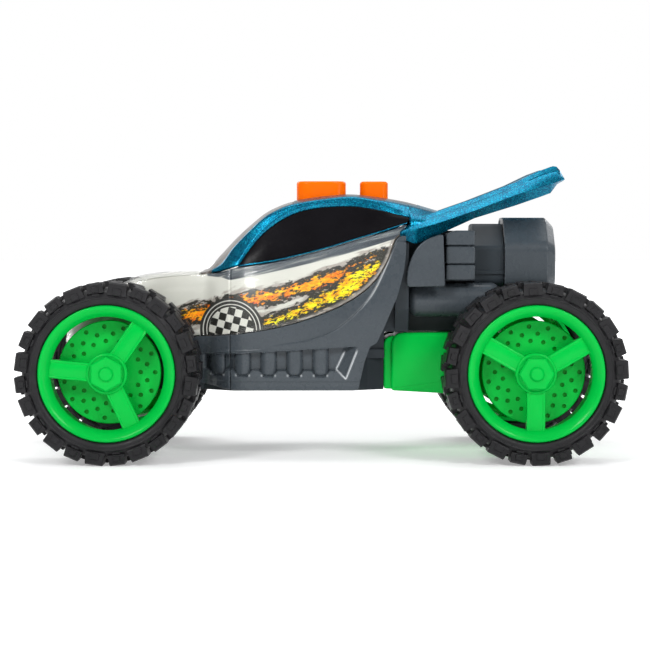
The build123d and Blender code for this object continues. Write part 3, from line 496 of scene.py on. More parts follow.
def clear_plastic(name):
    """Clear moulded plastic: a gloss skin over an almost colourless body. Lamps and soft light
    pass straight through to what it covers."""
    paint = Paint(name)
    colour = paint.mix(paint.uneven(45.0, 3.0, 0.3, 0.7), (0.955, 0.965, 0.955), (0.975, 0.98, 0.97))
    gloss = paint.uneven(320.0, 5.0, 0.4, 0.8, 0.0, 0.05)
    paint.finish(colour, gloss, paint.noise(55.0, 2.0), 0.0002, 0.25, Transmission_Weight=1.0, IOR=1.06,
                 Coat_Weight=0.55, Coat_Roughness=0.05, Coat_IOR=1.5)
    rays = paint.add("LightPath").outputs
    passes = paint.maths("MAXIMUM", rays["Is Shadow Ray"], rays["Is Diffuse Ray"])
    passes = paint.maths("MAXIMUM", passes, CLEAR_SHARE)
    through = paint.add("BsdfTransparent", {"Color": (0.985, 0.985, 0.98)})
    mixed = paint.add("MixShader", {0: passes, 1: paint.shader.outputs[0], 2: through.outputs[0]})
    paint.plug(paint.tree.nodes["Material Output"].inputs["Surface"], mixed.outputs[0])
    return paint.material


def metal(name, colour, rough=0.28):
    """Drawn or plated steel with fine marks."""
    paint = Paint(name)
    marks = paint.mapped(Scale=(30, 1, 30))
    shade = paint.between(paint.noise(160.0, 4.0, coords=marks), 0.3, 0.7)
    return paint.finish(paint.mix(shade, [c * 0.8 for c in colour], colour),
                        paint.uneven(500.0, 4.0, 0.3, 0.7, rough - 0.06, rough + 0.12),
                        paint.noise(600.0, 2.0, coords=marks), 0.00002, 0.4, Metallic=1.0)


STREAK_SLOPE = 17.0         # degrees, of the printed streaks
BAND_SLOPE = 14.2           # degrees, of the painted reflection's streaks under the clear bead
BADGE_CENTRE = (-46.9, 67.3)
BADGE_R = 16.9
CHECKS_R = 12.0
BADGE_SPAN = 20.0           # radius at the end of the badge's colour ramp
HOT = ((0.44, (0.82, 0.09, 0.0)), (0.58, (0.98, 0.23, 0.0)), (0.70, (1.0, 0.38, 0.0)),
       (0.80, (0.96, 0.60, 0.0)), (0.90, (0.90, 0.82, 0.0)), (1.0, (0.93, 0.88, 0.04)))
# painted reflection of the surroundings in the clear bead, from dark blue-grey to pale
BEAD_REFLECTION_RAMP = ((0.0, (0.03, 0.045, 0.07)), (0.34, (0.012, 0.019, 0.03)), (0.48, (0.032, 0.045, 0.06)),
          (0.57, (0.09, 0.105, 0.115)), (0.68, (0.40, 0.40, 0.37)), (1.0, (0.72, 0.70, 0.64)))
# radius where each ring starts, and its colour
RINGS = ((CHECKS_R, BADGE_INK), (13.0, (0.70, 0.70, 0.651)), (13.5, (0.02, 0.02, 0.0186)),
         (14.9, (0.62, 0.62, 0.5766)), (15.4, (0.02, 0.02, 0.0186)))


def streaks_print(paint, pale):
    """Ragged hot-coloured streaks with smoky and black edges over a pale colour."""
    inside, tone = paint.attribute("streak"), paint.attribute("tone")
    brushed = paint.stretched(STREAK_SLOPE, (0.4, 1, 1))
    smoke = paint.noise(420.0, 6.0, 0.65, paint.stretched(STREAK_SLOPE, (0.13, 1, 1)))

    def ragged(shift, wobble, source):
        swing = paint.maths("MULTIPLY", paint.maths("SUBTRACT", source, 0.5), wobble)
        return paint.maths("ADD", paint.maths("ADD", inside, swing), shift)

    haze = paint.between(ragged(3.0, 16.0, smoke), -0.3, 1.2, 0.0, 0.80)
    surface = paint.mix(haze, pale, (0.30, 0.26, 0.23))
    black = paint.between(ragged(1.2, 12.0, paint.noise(480.0, 6.0, 0.66, brushed)), -0.08, 0.08)
    surface = paint.mix(black, surface, INK)
    mottle = paint.maths("MULTIPLY", paint.noise(330.0, 5.0, 0.7, brushed), 1.25)
    warm = paint.ramp(paint.maths("ADD", mottle, paint.maths("MULTIPLY", tone, 0.26)), HOT)
    warmth = paint.maths("ADD", ragged(-1.9, 17.0, paint.noise(800.0, 6.0, 0.70, brushed)),
                         paint.attribute("heat"))
    surface = paint.mix(paint.between(warmth, -0.12, 0.12), surface, warm)
    fleck = paint.maths("ADD", paint.noise(1250.0, 4.0, 0.65, brushed),
                        paint.maths("MULTIPLY", tone, 0.085))
    specks = paint.between(fleck, 0.615, 0.63)
    return paint.mix(paint.maths("MULTIPLY", specks, black), surface, INK)


def badge_print(paint, surface):
    """Plain round badge: a chequered field in rings."""
    centre = (BADGE_CENTRE[0] * MM, 0, BADGE_CENTRE[1] * MM)
    flat = paint.add("VectorMath", {0: paint.coords, 1: centre}, operation="SUBTRACT").outputs[0]
    flat = paint.add("VectorMath", {0: flat, 1: (1, 0, 1)}, operation="MULTIPLY").outputs[0]
    radius = paint.add("VectorMath", {0: flat}, operation="LENGTH").outputs["Value"]
    radius = paint.maths("MULTIPLY", radius, 1 / MM)
    tilt = {"Vector": flat, "Rotation": (0, math.radians(-14), 0), "Scale": (1, 0, 1)}
    turned = paint.add("Mapping", tilt).outputs[0]
    turned = paint.add("VectorMath", {0: turned, 1: (0.0003, 0.5, 0.0002)}, operation="ADD").outputs[0]
    checks = paint.add("TexChecker", {"Vector": turned, "Scale": 260.0, "Color1": (0.70, 0.70, 0.64),
                                      "Color2": BADGE_INK}).outputs["Color"]
    stops = ((0.0, (0, 0, 0)),) + tuple((place / BADGE_SPAN, colour) for place, colour in RINGS)
    rings = paint.ramp(paint.maths("DIVIDE", radius, BADGE_SPAN), stops, "CONSTANT")
    in_checks = paint.between(radius, CHECKS_R - 0.05, CHECKS_R + 0.05, 1.0, 0.0)
    in_badge = paint.between(radius, BADGE_R - 0.06, BADGE_R + 0.06, 1.0, 0.0)
    return paint.mix(in_badge, surface, paint.mix(in_checks, rings, checks))


def printed(name):
    """Pale insert: printed streaks and badge, painted edge shade and a painted reflection under the bead.
    """
    paint = Paint(name)
    pale = paint.mix(paint.uneven(30.0, 3.0, 0.3, 0.7), (0.56, 0.56, 0.51), (0.65, 0.65, 0.595))
    surface = streaks_print(paint, pale)
    # painted shade: brown-grey along the insert's lower edge, stronger towards the rear
    painted_edge_shade = paint.maths("MULTIPLY", paint.between(paint.attribute("rim"), 1.4, 2.5, 0.8, 0.0),
                         paint.between(paint.axis("X"), -0.02, 0.02, 0.2, 1.0))
    surface = badge_print(paint, paint.mix(painted_edge_shade, surface, (0.27, 0.245, 0.225)))
    # painted reflection: streaky marks under the clear bead stand in for what it reflects and refracts
    marks = paint.noise(560.0, 4.0, 0.6, paint.stretched(BAND_SLOPE, (0.05, 0.4, 1.5)))
    in_bead_reflection = paint.between(paint.attribute("band"), 0.15, -0.25, 0.0, 1.0)
    surface = paint.mix(in_bead_reflection, surface, paint.ramp(marks, BEAD_REFLECTION_RAMP))
    keyline = paint.between(paint.attribute("rim"), 0.45, 0.60, 1.0, 0.0)
    surface = paint.mix(keyline, surface, (0.05, 0.035, 0.02))
    return paint.finish(surface, paint.uneven(380.0, 4.0, 0.3, 0.7, 0.30, 0.44), paint.noise(900.0, 2.0),
                        0.00002, 0.4)


GREEN = plastic("green_plastic", (0.0, 0.455, 0.052), 0.20, drift=0.05, specular=0.10)
# wheel discs, with painted shade on their dimple floors
DISC_WITH_DIMPLE_SHADE = plastic("green_plastic_disc_dimple_shade", (0.0, 0.54, 0.06), 0.30, drift=0.05, specular=0.10,
               dimple_shade=(0.0, 0.26, 0.012))
# slate mouldings; the paler second colour is painted glints on their edges
SLATE_WITH_GLINTS = plastic("slate_plastic", (0.053, 0.064, 0.074), 0.27, drift=0.05, specular=0.28,
                polish=(0.75, 0.78, 0.80))
SLATE_DARK = plastic("dark_slate_plastic", (0.026, 0.034, 0.041), 0.38, drift=0.08, specular=0.22)
CHASSIS = plastic("chassis_plastic", (0.026, 0.032, 0.038), 0.40, 0.00006, 0.08, 0.22)
ORANGE = plastic("orange_plastic", (1.0, 0.155, 0.0), 0.18, drift=0.02, specular=0.14)
SMOKED = plastic("smoked_plastic", (0.120, 0.104, 0.094), 0.16, drift=0.08, specular=0.3)
BLUE = flake_paint("flake_blue")
TYRE = rubber("tyre_rubber")
BLACK = glossy_black("window_black")
CLEAR = clear_plastic("clear_cover")
# the insert material paints print, plus shade along the lower edge and the bead's reflection
PRINT_AND_PAINTED_LIGHT = printed("printed_insert")
STEEL = metal("bright_steel", (0.62, 0.62, 0.63))
NYLON = plastic("natural_nylon", (0.80, 0.78, 0.70), 0.42, drift=0.05)
BOARD = plastic("circuit_board", (0.02, 0.17, 0.05), 0.35, drift=0.2)
CELL = plastic("cell_wrap", (0.05, 0.05, 0.06), 0.2, drift=0.2)


# ---- shells on the skin ------------------------------------------------------------------
def step_up(value, low, high):
    """Smooth 0 to 1 between two values."""
    t = np.clip((value - low) / (high - low), 0, 1)
    return t * t * (3 - 2 * t)


def shell(stations, keys, counts, inset=0.0, thickness=2.0, relief=None, side=-1, edge=0.3, open_to=None):
    """Curved shell on the skin. keys(x, section) gives distances along the skin, and counts the
    number of strips between them, so that rows follow the features. The border is rounded off."""
    stations = list(stations)
    stations = [stations[0], stations[0] + edge] + stations[1:-1] + [stations[-1] - edge, stations[-1]]
    layers = ([], [])
    for number, x in enumerate(stations):
        section = Section(x)
        marks = [float(k) for k in keys(x, section)]
        s = [marks[0], marks[0] + min(edge, (marks[1] - marks[0]) * 0.3)]
        for a, b, count in zip(marks, marks[1:], counts):
            s += np.linspace(a, b, count + 1)[1:].tolist()
        s = np.array(sorted(s))
        s = np.append(s, s[-1])
        s[-2] = s[-1] - min(edge, (marks[-1] - marks[-2]) * 0.3)
        s.sort()
        y, z = section.point(s, 0)
        extra = relief(np.full_like(z, x), z, y) if relief is not None else np.zeros_like(z)
        border = np.zeros_like(z)
        if open_to is None or x > open_to:
            border[0] = edge
        border[-1] = edge
        if number in (0, len(stations) - 1):
            border[:] = edge
        for target, depth in zip(layers, (inset + extra + border * 0.8, inset + extra + thickness)):
            y, z = section.point(s, depth)
            target.append(np.stack([np.full_like(y, x), -side * y, z], 1))
    rows, across = len(stations), len(layers[0][0])
    verts = np.concatenate(layers[0] + layers[1])
    half = rows * across
    faces = grid_faces(rows, across)
    faces += [tuple(i + half for i in reversed(face)) for face in faces]
    rim = list(range(across))
    rim += [i * across + across - 1 for i in range(1, rows)]
    rim += [(rows - 1) * across + j for j in range(across - 2, -1, -1)]
    rim += [i * across for i in range(rows - 2, 0, -1)]
    for a, b in zip(rim, rim[1:] + rim[:1]):
        on_centre = open_to is not None and a % across == 0 and b % across == 0
        if not (on_centre and max(stations[a // across], stations[b // across]) <= open_to):
            faces.append((b, a, a + half, b + half))
    return verts, faces


def cut(piece, verts, faces):
    """Take a closed body away from a piece."""
    mesh = bpy.data.meshes.new("cutter")
    mesh.from_pydata((np.asarray(verts, float) * MM).tolist(), [], [tuple(map(int, f)) for f in faces])
    cutter = bpy.data.objects.new("cutter", mesh)
    bpy.context.scene.collection.objects.link(cutter)
    modifier = piece.modifiers.new("cut", "BOOLEAN")
    modifier.operation = "DIFFERENCE"
    modifier.solver = "EXACT"
    modifier.object = cutter
    bpy.context.view_layer.update()
    graph = bpy.context.evaluated_depsgraph_get()
    result = bpy.data.meshes.new_from_object(piece.evaluated_get(graph))
    piece.modifiers.remove(modifier)
    old, piece.data = piece.data, result
    bpy.data.meshes.remove(old)
    bpy.data.objects.remove(cutter)
    bpy.data.meshes.remove(mesh)
    return piece


def rounded_outline(length, width, corner, count=8):
    """Rounded rectangle about the origin."""
    points = []
    for quarter, (sx, sy) in enumerate(((1, 1), (-1, 1), (-1, -1), (1, -1))):
        for a in np.linspace(0, math.pi / 2, count):
            angle = quarter * math.pi / 2 + a
            x = sx * (length / 2 - corner) + corner * math.cos(angle)
            points.append((x, sy * (width / 2 - corner) + corner * math.sin(angle)))
    return points


def inset_outline(points, distance):
    """Closed outline drawn in by a distance, with mitred corners."""
    points = np.asarray(points, float)
    before = points - np.roll(points, 1, 0)
    after = np.roll(points, -1, 0) - points
    area = np.sum(points[:, 0] * np.roll(points[:, 1], -1) - np.roll(points[:, 0], -1) * points[:, 1])
    sign = 1 if area > 0 else -1
    n0 = sign * np.stack([-before[:, 1], before[:, 0]], 1) / np.linalg.norm(before, axis=1)[:, None]
    n1 = sign * np.stack([-after[:, 1], after[:, 0]], 1) / np.linalg.norm(after, axis=1)[:, None]
    bend = 1 + np.sum(n0 * n1, 1)
    return points + (n0 + n1) * (distance / bend)[:, None]


def rounded_corners(points, radius, count=6):
    """Closed outline with its corners rounded; radius is one value or one for each corner."""
    points = np.asarray(points, float)
    radii = [radius] * len(points) if np.isscalar(radius) else radius
    made = []
    for i, corner in enumerate(points):
        a, b = points[i - 1] - corner, points[(i + 1) % len(points)] - corner
        la, lb = np.linalg.norm(a), np.linalg.norm(b)
        a, b = a / la, b / lb
        half = math.acos(float(np.clip(np.dot(a, b), -1, 1))) / 2
        if radii[i] < 0.05 or abs(half - math.pi / 2) < 0.02:
            made.append(corner)
            continue
        reach = min(radii[i] / math.tan(half), la * 0.48, lb * 0.48)
        for t in np.linspace(0, 1, count):
            made.append(corner + a * reach * (1 - t) ** 2 + b * reach * t ** 2)
    return np.array(made)


def face_edge(outline, y_face, direction, rounding, count):
    """Loops of a quarter-round from a face at y_face back along its outline."""
    loops = []
    for t in np.linspace(0, math.pi / 2, count):
        y = y_face + direction * rounding * (1 - math.cos(t))
        loops.append([(x, y, z) for x, z in inset_outline(outline, rounding * (1 - math.sin(t)))])
    return loops


def pillow(outline, y0, y1, rounding, count=4):
    """Body over an (x, z) outline from the face y0 to the face y1, with the y0 edge rounded."""
    loops = face_edge(outline, y0, 1 if y1 > y0 else -1, rounding, count)
    loops.append([(x, y1, z) for x, z in outline])
    return loft(loops)


# ---- body panels, left side first, then mirrored -----------------------------------------
RIB_XS = [-54.5 + 13.5 * n for n in range(5)]
RIB_R = 4.3
RIB_RISE = 3.5
RECESS = 4.3                # depth of the recess in the sill
AXLE_POCKET = 2.5           # sunk ring round the front axle
CHASSIS_HALF_W = line_z(((-131, 15), (-122, 23), (-100, 26.5), (-62, 26.8), (-54, 33), (-46, 39),
                         (16, 38.4), (24, 33), (44, 28)))
RECESS_TOP = line_z(((-61.7, 54.3), (17.4, 58.9)))
RECESS_FOOT = line_z(((-62, 46.4), (7.4, 46.6), (12.3, 42.2), (16, 42.2)))
RIDGE = curve_z(((-61.7, 55.2), (-37.6, 57.7), (-23.2, 59.4), (-6.7, 62.0), (6.4, 67.0), (14, 72.6),
                 (25.3, 84.6), (39.2, 113.1)))


def recess_foot(x):
    """Bottom edge of the recess: lower at each rib's foot."""
    x = np.asarray(x, float)
    foot = heights(RECESS_FOOT, np.atleast_1d(x))
    for rib in RIB_XS:
        near = 43.0 + 3.4 * np.clip((np.abs(x - rib) - 2.4) / 2.3, 0, 1)
        foot = np.minimum(foot, near)
    return foot


def sill_relief(x, z, _y):
    """Inward depth of the side's pressed shapes: recess, ribs, wedge, ridge, lower lip, axle pocket."""
    top = heights(RECESS_TOP, x)
    foot = recess_foot(x)
    inside = step_up(top - z, 0.0, 0.45) * step_up(z - foot, -0.1, 0.5) * step_up(x, -61.5, -59.5)
    ramp_start = 7.4 + (z - 47) * (4.2 / 9)
    ramp_end = 12.3 + (z - 42.1) * (5.8 / 14.9)
    ramp = np.clip((ramp_end - x) / np.maximum(ramp_end - ramp_start, 0.1), 0, 1)
    depth = RECESS * inside * ramp
    for rib in RIB_XS:
        bulge = RIB_RISE * np.sqrt(np.clip(1 - ((x - rib) / RIB_R) ** 2, 0, None))
        tuck = np.sqrt(np.clip(1 - np.clip((45.0 - z) / 2.0, 0, 1) ** 2, 0, 1))
        depth -= np.minimum(bulge * tuck, depth) * (inside > 0)
    on_lip = (z > top) * step_up(16.7 - x, 0, 3)
    depth += 0.35 * np.exp(-np.abs(z - top - 0.2) / 0.45) * on_lip
    glints = ((ramp_start - x) / 1.1, (ramp_end - x) / 1.07)
    for offset in glints:
        depth -= 0.5 * np.exp(-(offset / 0.45) ** 2) * (z > foot - 0.6) * (z < top - 1.2)
    depth -= 0.30 * np.exp(-((z - top - 1.0) / 0.4) ** 2) * step_up(-x, 22, 34)
    over = above(RIDGE, x, z)
    depth += 1.25 * step_up(over, -0.1, 0.55) * step_up(x, -30, 8) * (z > top + 1)
    depth += 0.45 * step_up(41 - z, 0, 0.6) * step_up(z, 36.4, 37.6)
    depth += AXLE_POCKET * step_up(5.6 - np.hypot(x - FRONT_X, z - AXLE_Z), -0.2, 0.3)
    return depth


def flank_keys(x, section):
    """Rows of the lower side mouldings, from the cover's edge down and under to the chassis."""
    under = section.bottom_corner() + max(section.path[section.corner, 0] - CHASSIS_HALF_W(x) - 0.4, 0.6)
    if x < -131.3:
        under = section.s[-1]
    top = RECESS_TOP(x)
    rows = [section.at_z(z) for z in (top + 1.6, top + 0.02, top - 0.5, 46.9, 42.6, 40.4)]
    start = section.at_z(min(PRINT_EDGE(x), 116.8) - GAP)
    marks = [start] + rows + [section.bottom_corner(), under]
    end = under
    if x > 18.9:
        end = section.at_z(REAR_EDGE(x))
    return np.clip(np.maximum.accumulate(marks), start, end)


FLANK_COUNTS = (44, 6, 2, 18, 12, 6, 6, 6)


def mark_polish(piece):
    """Painted glints on the side moulding's edges: both wedge edges, the ridge's rear part, rib feet."""
    x, _, z = points_of(piece)
    top = heights(RECESS_TOP, x)
    glint = np.zeros_like(x)
    for foot_x, foot_z, lean, head in ((7.6, 47.0, 0.47, 1.6), (12.6, 42.1, 0.39, 1.2)):
        offset = (x - foot_x - (z - foot_z) * lean) / math.hypot(1, lean)
        on_edge = step_up(z, foot_z - 0.3, foot_z + 0.5) * step_up(top - head - z, 0, 2)
        glint = np.maximum(glint, 0.8 * np.exp(-(offset / 0.33) ** 2) * on_edge)
    run = np.clip((x - 7.6) / 5.0, 0, 1)
    offset = (z - 47.0 + run * 4.9) * 0.71
    glint = np.maximum(glint, 0.8 * np.exp(-(offset / 0.33) ** 2) * (x > 7.4) * (x < 12.8))
    over = above(RIDGE, x, z)
    on_ridge = step_up(x, 19, 28) * step_up(37.5 - x, 0, 4)
    glint = np.maximum(glint, 0.55 * np.exp(-(over / 0.35) ** 2) * on_ridge)
    for rib in RIB_XS:
        for turn in (-1, 1):
            far = np.hypot(x - rib - turn * 3.5, (z - 43.9) * 0.8)
            glint = np.maximum(glint, 0.5 * np.exp(-(far / 0.42) ** 2))
    store(piece, polish=glint)


axle_stations = [FRONT_X + d for d in np.linspace(-6, 6, 25)]
rib_stations = [rib + d for rib in RIB_XS for d in (-RIB_R, -4.1, -3.7, -3.1, 0, 3.1, 3.7, 4.1, RIB_R)]

for side_name, side in SIDES:
    v, f = shell(span(SEAM_X + GAP, 43.9, 0.5, rib_stations), flank_keys, FLANK_COUNTS, thickness=SKIN_T,
                 relief=sill_relief, side=side)
    mark_polish(make_piece(f"cabin_side_{side_name}", v, f, SLATE_WITH_GLINTS,
                           replaces=("main_body",), crease=50))
    v, f = shell(span(-137.9, SEAM_X - GAP, 1.2, rib_stations + axle_stations), flank_keys, FLANK_COUNTS,
                 thickness=SKIN_T, relief=sill_relief, side=side)
    mark_polish(make_piece(f"nose_side_{side_name}", v, f, SLATE_WITH_GLINTS,
                           replaces=("nose_lower",), crease=50))


def bulkhead():
    """Wall across the rear of the cabin moulding, with a step over the drive housing."""
    stations = ((66, 29.5), (78, 37), (92, 38), (104, 37.6), (113, 36.4))
    outline = [(w, z) for z, w in stations]
    outline += [(-w, z) for w, z in reversed(outline)]
    upper = loft([[(x, y, z) for y, z in outline] for x in (38.2, 45.6)])
    step_outline = ((20.0, 54.35), (32.6, 54.35), (33.0, 65.9), (45.6, 65.9), (45.6, 84), (38, 84),
                    (31, 70), (20.0, 60.0))
    step = prism(step_outline, -30.2, 30.2)
    foot = box_body(20.0, 32.9, -32.8, 32.8, 52.05, 57.0)
    return join([upper, step, foot, box_body(19.0, 32.6, -28.6, 28.6, 50.0, 56.0)])


v, f = bulkhead()
soften(make_piece("cabin_bulkhead", v, f, SLATE_DARK, replaces=("main_body",),
                  smooth=False), 0.4)

# clear covers and the inserts under them
SCREEN_FOOT = line_z(((-64.3, 97.2), (-55.8, 97.2), (-40, 101.0)))
NOSE_OPEN_X = -64.3
seam_section = Section(NOSE_OPEN_X)
HOOD_SHARE = seam_section.at_z(SCREEN_FOOT(NOSE_OPEN_X)) / seam_section.at_z(PRINT_EDGE(NOSE_OPEN_X))


def nose_keys(shift):
    """Rows of a nose layer: all of the hood ahead of the windscreen's foot, then only the side."""
    def keys(x, section):
        low = 0.0 if x <= NOSE_OPEN_X else section.at_z(SCREEN_FOOT(x) - shift * 0.2)
        high = max(section.at_z(PRINT_EDGE(x) + GAP + shift * 0.2), low + 0.05)
        return low, max(HOOD_SHARE * high, low + 0.04) if x <= NOSE_OPEN_X else low + 0.04, high
    return keys


def side_keys(shift, z_top):
    """Rows of a cabin side layer between the belt and the lower edge."""
    def keys(x, section):
        low = section.at_z(BELT(x) - z_top)
        high = max(section.at_z(PRINT_EDGE(x) + GAP + shift * 0.2), low + 0.05)
        return low, min(max(section.at_z(BEAD_FOOT(x)), low + 0.02), low + (high - low) * 0.9), high
    return keys


def bead_relief(x, z, _y):
    """Rounded bead along the top of the clear side cover."""
    below = heights(BELT, x) - 0.9 - z
    across = np.clip(below / BEAD, 0, 1)
    round_top = 0.9 * (1 - np.sqrt(np.clip(1 - (1 - np.clip(below / 1.6, 0, 1)) ** 2, 0, 1)))
    groove = 0.5 * np.exp(-((below - BEAD) / 0.35) ** 2)
    channel = 0.35 * np.exp(-((below - 2.5) / 0.5) ** 2)
    return np.where(across < 1.2, round_top + groove + channel, 0.0)


def mark_print(piece, streaks, border):
    """Signed distances in millimetres that the printed material reads."""
    x, _, z = points_of(piece)
    inside, tone, heat = np.full_like(x, -50.0), np.zeros_like(x), np.zeros_like(x)
    for top, bottom, yellow, showing in streaks:
        top_z = np.interp(x, [p[0] for p in top], [p[1] for p in top])
        bottom_z = np.interp(x, [p[0] for p in bottom], [p[1] for p in bottom])
        first, last = min(top[0][0], bottom[0][0]), max(top[-1][0], bottom[-1][0])
        depth = np.minimum(np.minimum(top_z - z, z - bottom_z) * 0.95, np.minimum(x - first, last - x))
        tone = np.where(depth > inside, yellow, tone)
        heat = np.where(depth > inside, np.interp(x, *zip(*showing)), heat)
        inside = np.maximum(inside, depth)
    edge, band = border(x, z)
    store(piece, streak=inside, tone=tone, heat=heat, rim=edge, band=band)


UPPER_TOP = ((-48.5, 84.8), (-39.7, 86.1), (-24.7, 88.9), (-11.6, 92.3), (-2.1, 96.4), (8, 98.9),
             (15.8, 101.4), (20.4, 104.8), (30.4, 108.4), (34.8, 109.0))
UPPER_BOTTOM = ((-48.5, 79.5), (-34.8, 79.9), (-25, 81.6), (-15.1, 84.6), (-5.3, 86.8), (2.6, 89.7),
                (9.5, 92.5), (16, 99.8), (22, 103), (28, 105.5), (34.8, 108.4))
LOWER_TOP = ((-30.9, 73.5), (-19, 77.2), (-9.2, 82), (-0.3, 86.4), (7.6, 90.4), (12, 96.9), (18, 100),
             (24.3, 102.6), (32.8, 105))
LOWER_BOTTOM = ((-30.9, 68), (-15.1, 72.2), (-6, 76), (4.6, 79.9), (14.4, 84), (24.3, 91.7), (28.5, 96.8),
                (32.8, 103.6))
FRONT_TOP = ((-74, 77.8), (-63, 79.8), (-48.5, 83.8))
FRONT_BOTTOM = ((-74, 70.7), (-62.9, 70.5), (-56, 72), (-48.5, 79.5))
EVEN = ((-80, 0.0), (40, 0.0))
LOWER_HEAT = ((-31, 0.3), (-24, 0.0), (-16, -2.6), (-4, -1.6), (6, 0.2), (20, 0.6), (34, 0.0))
# top edge, bottom edge, how yellow, and how much of the hot colour shows along x
STREAKS = ((UPPER_TOP, UPPER_BOTTOM, 0.12, EVEN), (LOWER_TOP, LOWER_BOTTOM, 0.75, LOWER_HEAT),
           (FRONT_TOP, FRONT_BOTTOM, 0.2, EVEN))


def side_border(x, z):
    """Distance in from the lower edge, and below the clear bead's foot, of the side insert."""
    return above(PRINT_EDGE, x, z), heights(BEAD_FOOT, x) - z


def nose_border(x, z):
    """The same for the nose insert, whose band runs out ahead of the windscreen's foot."""
    foot = np.interp(x, (-62.0, -60.4, -52.0, -47.5), (104.0, 95.2, 94.4, 93.0))
    return above(PRINT_EDGE, x, z), foot - z


for side_name, side in SIDES:
    v, f = shell(span(SEAM_X + 0.08, 44.2, 1.4, (39.1,)), side_keys(0, 0.9), (18, 30), thickness=COVER_T,
                 relief=bead_relief, side=side, edge=0.35)
    make_piece(f"clear_side_{side_name}", v, f, CLEAR,
               replaces=(f"side_cover_{side_name}",))
    v, f = shell(span(SEAM_X + 0.01, 43.8, 0.9, (39.1,)), side_keys(1.5, 1.0), (14, 44), inset=1.55,
                 thickness=0.9, side=side, edge=0.05)
    insert = make_piece(f"printed_side_{side_name}", v, f, PRINT_AND_PAINTED_LIGHT,
                        replaces=(f"side_insert_{side_name}",))
    mark_print(insert, STREAKS, side_border)

    def window_keys(x, section):
        low = section.at_z(ARCH(x) - GAP)
        foot = BELT(x) if x < 44.7 else float(np.interp(x, (44.7, 46.1), (123.4, 126.1)))
        return low, max(section.at_z(foot + GAP), low + 0.02)

    v, f = shell(span(-42.6, 45.9, 1.5), window_keys, (24,), inset=0.7, thickness=1.5, side=side, edge=0.12)
    make_piece(f"black_window_{side_name}", v, f, BLACK,
               replaces=(f"side_window_{side_name}",))


def whole_nose(name, keys, counts, material, slot, node, **settings):
    """Left and right halves of a nose layer, welded along the hood's centre line."""
    parts = [shell(span(-137.9, SEAM_X - 0.01, 1.2, (NOSE_OPEN_X, NOSE_OPEN_X + 0.05)), keys, counts,
                   side=side, open_to=NOSE_OPEN_X, **settings) for _, side in SIDES]
    v, f = join([parts[0], (parts[1][0], [tuple(reversed(face)) for face in parts[1][1]])])
    return make_piece(name, v, f, material, replaces=(node,))


whole_nose("clear_nose", nose_keys(0), (26, 26), CLEAR, "clear_cover", "nose_cover", thickness=COVER_T,
           edge=0.3)
nose_insert = whole_nose("printed_nose", nose_keys(1.5), (34, 34), PRINT_AND_PAINTED_LIGHT, "pale_insert", "nose_insert",
                         inset=1.28, thickness=1.2, edge=0.2)
mark_print(nose_insert, STREAKS, nose_border)


# roof: rails and pillars, windscreen, roof panel
def rail_low(x):
    """Lower edge of the roof rail at a station."""
    if x < -42.9:
        return float(np.interp(x, (-63, -55.5, -42.9), (97.6, 97.6, 101.35)))
    if x < 46.1:
        return ARCH(x) + GAP
    return float(np.interp(x, (46.1, 46.6, 62.5), (126.2, 118.5, 124.0)))


def rail_keys(x, section):
    """Rows from the screen's edge over the roof's corner and down to the window."""
    start = section.at_y(SCREEN_EDGE(x) + GAP)
    low = rail_low(x)
    end = max(section.at_z(low), start + 0.3)
    chamfer = min(max(section.at_z(low + 2.3), start + 0.1), end - 0.1)
    return start, chamfer, end


def rail_relief(x, z, _y):
    """Chamfer that turns the rail in towards the window."""
    low = heights(rail_low, x)
    along = step_up(x, -47, -38) * step_up(-x, -47, -38)
    return 1.15 * np.clip((low + 2.1 - z) / 2.1, 0, 1) * along


def belt_strip_keys(x, section):
    """Thin bright edge of the rail moulding under the window."""
    return section.at_z(BELT(x) - 0.1), section.at_z(BELT(x) - 0.6)


for side_name, side in SIDES:
    v, f = shell(span(-57.5, 61.9, 1.1), rail_keys, (22, 7), thickness=2.0, relief=rail_relief, side=side,
                 edge=0.35)
    make_piece(f"roof_rail_{side_name}", v, f, BLUE, replaces=("roof_frame",))
    v, f = shell(span(-43.4, 44.6, 2.0), belt_strip_keys, (3,), inset=0.1, thickness=1.2, side=side,
                 edge=0.12)
    make_piece(f"belt_strip_{side_name}", v, f, BLUE, replaces=("roof_frame",))


def across_keys(margin):
    """Rows from side to side between the two rails."""
    def keys(x, section):
        half = section.at_y(SCREEN_EDGE(x) - margin)
        return -half, 0.0, half
    return keys


v, f = shell(span(51.0, 61.9, 1.4), across_keys(-0.6), (22, 22), thickness=2.0, edge=0.3)
make_piece("roof_tail_band", v, f, BLUE, replaces=("roof_frame",))
ROOF_SPLIT_X = -15.0
v, f = shell(span(-63.0, ROOF_SPLIT_X - 0.1, 1.4), across_keys(GAP), (24, 24), inset=0.35, thickness=2.0)
make_piece("windscreen", v, f, SMOKED, replaces=("windscreen_roof_panel",))
v, f = shell(span(ROOF_SPLIT_X + 0.1, 50.7, 1.4), across_keys(GAP), (24, 24), inset=0.1, thickness=2.2)
roof = make_piece("roof_panel", v, f, SLATE_WITH_GLINTS, replaces=("windscreen_roof_panel",))


def size_mm(node):
    """Size of a CAD node's box, in millimetres."""
    low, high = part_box(node)
    return [(high[i] - low[i]) / MM for i in range(3)]


BUTTON_FLANGE = 3.0         # flange past the cap, both sides together
BUTTON_GAP = 0.4
for node in ("large_button", "small_button"):
    cx, cy, _ = centre_mm(node)
    length, width, _ = size_mm(node)
    length, width = length - BUTTON_FLANGE + 2 * BUTTON_GAP, width - BUTTON_FLANGE + 2 * BUTTON_GAP
    outline = rounded_outline(length, width, min(length, width) * 0.3)
    v, f = loft([[(cx + x, cy + y, z) for x, y in outline] for z in (128.0, 146.0)])
    cut(roof, v, f)


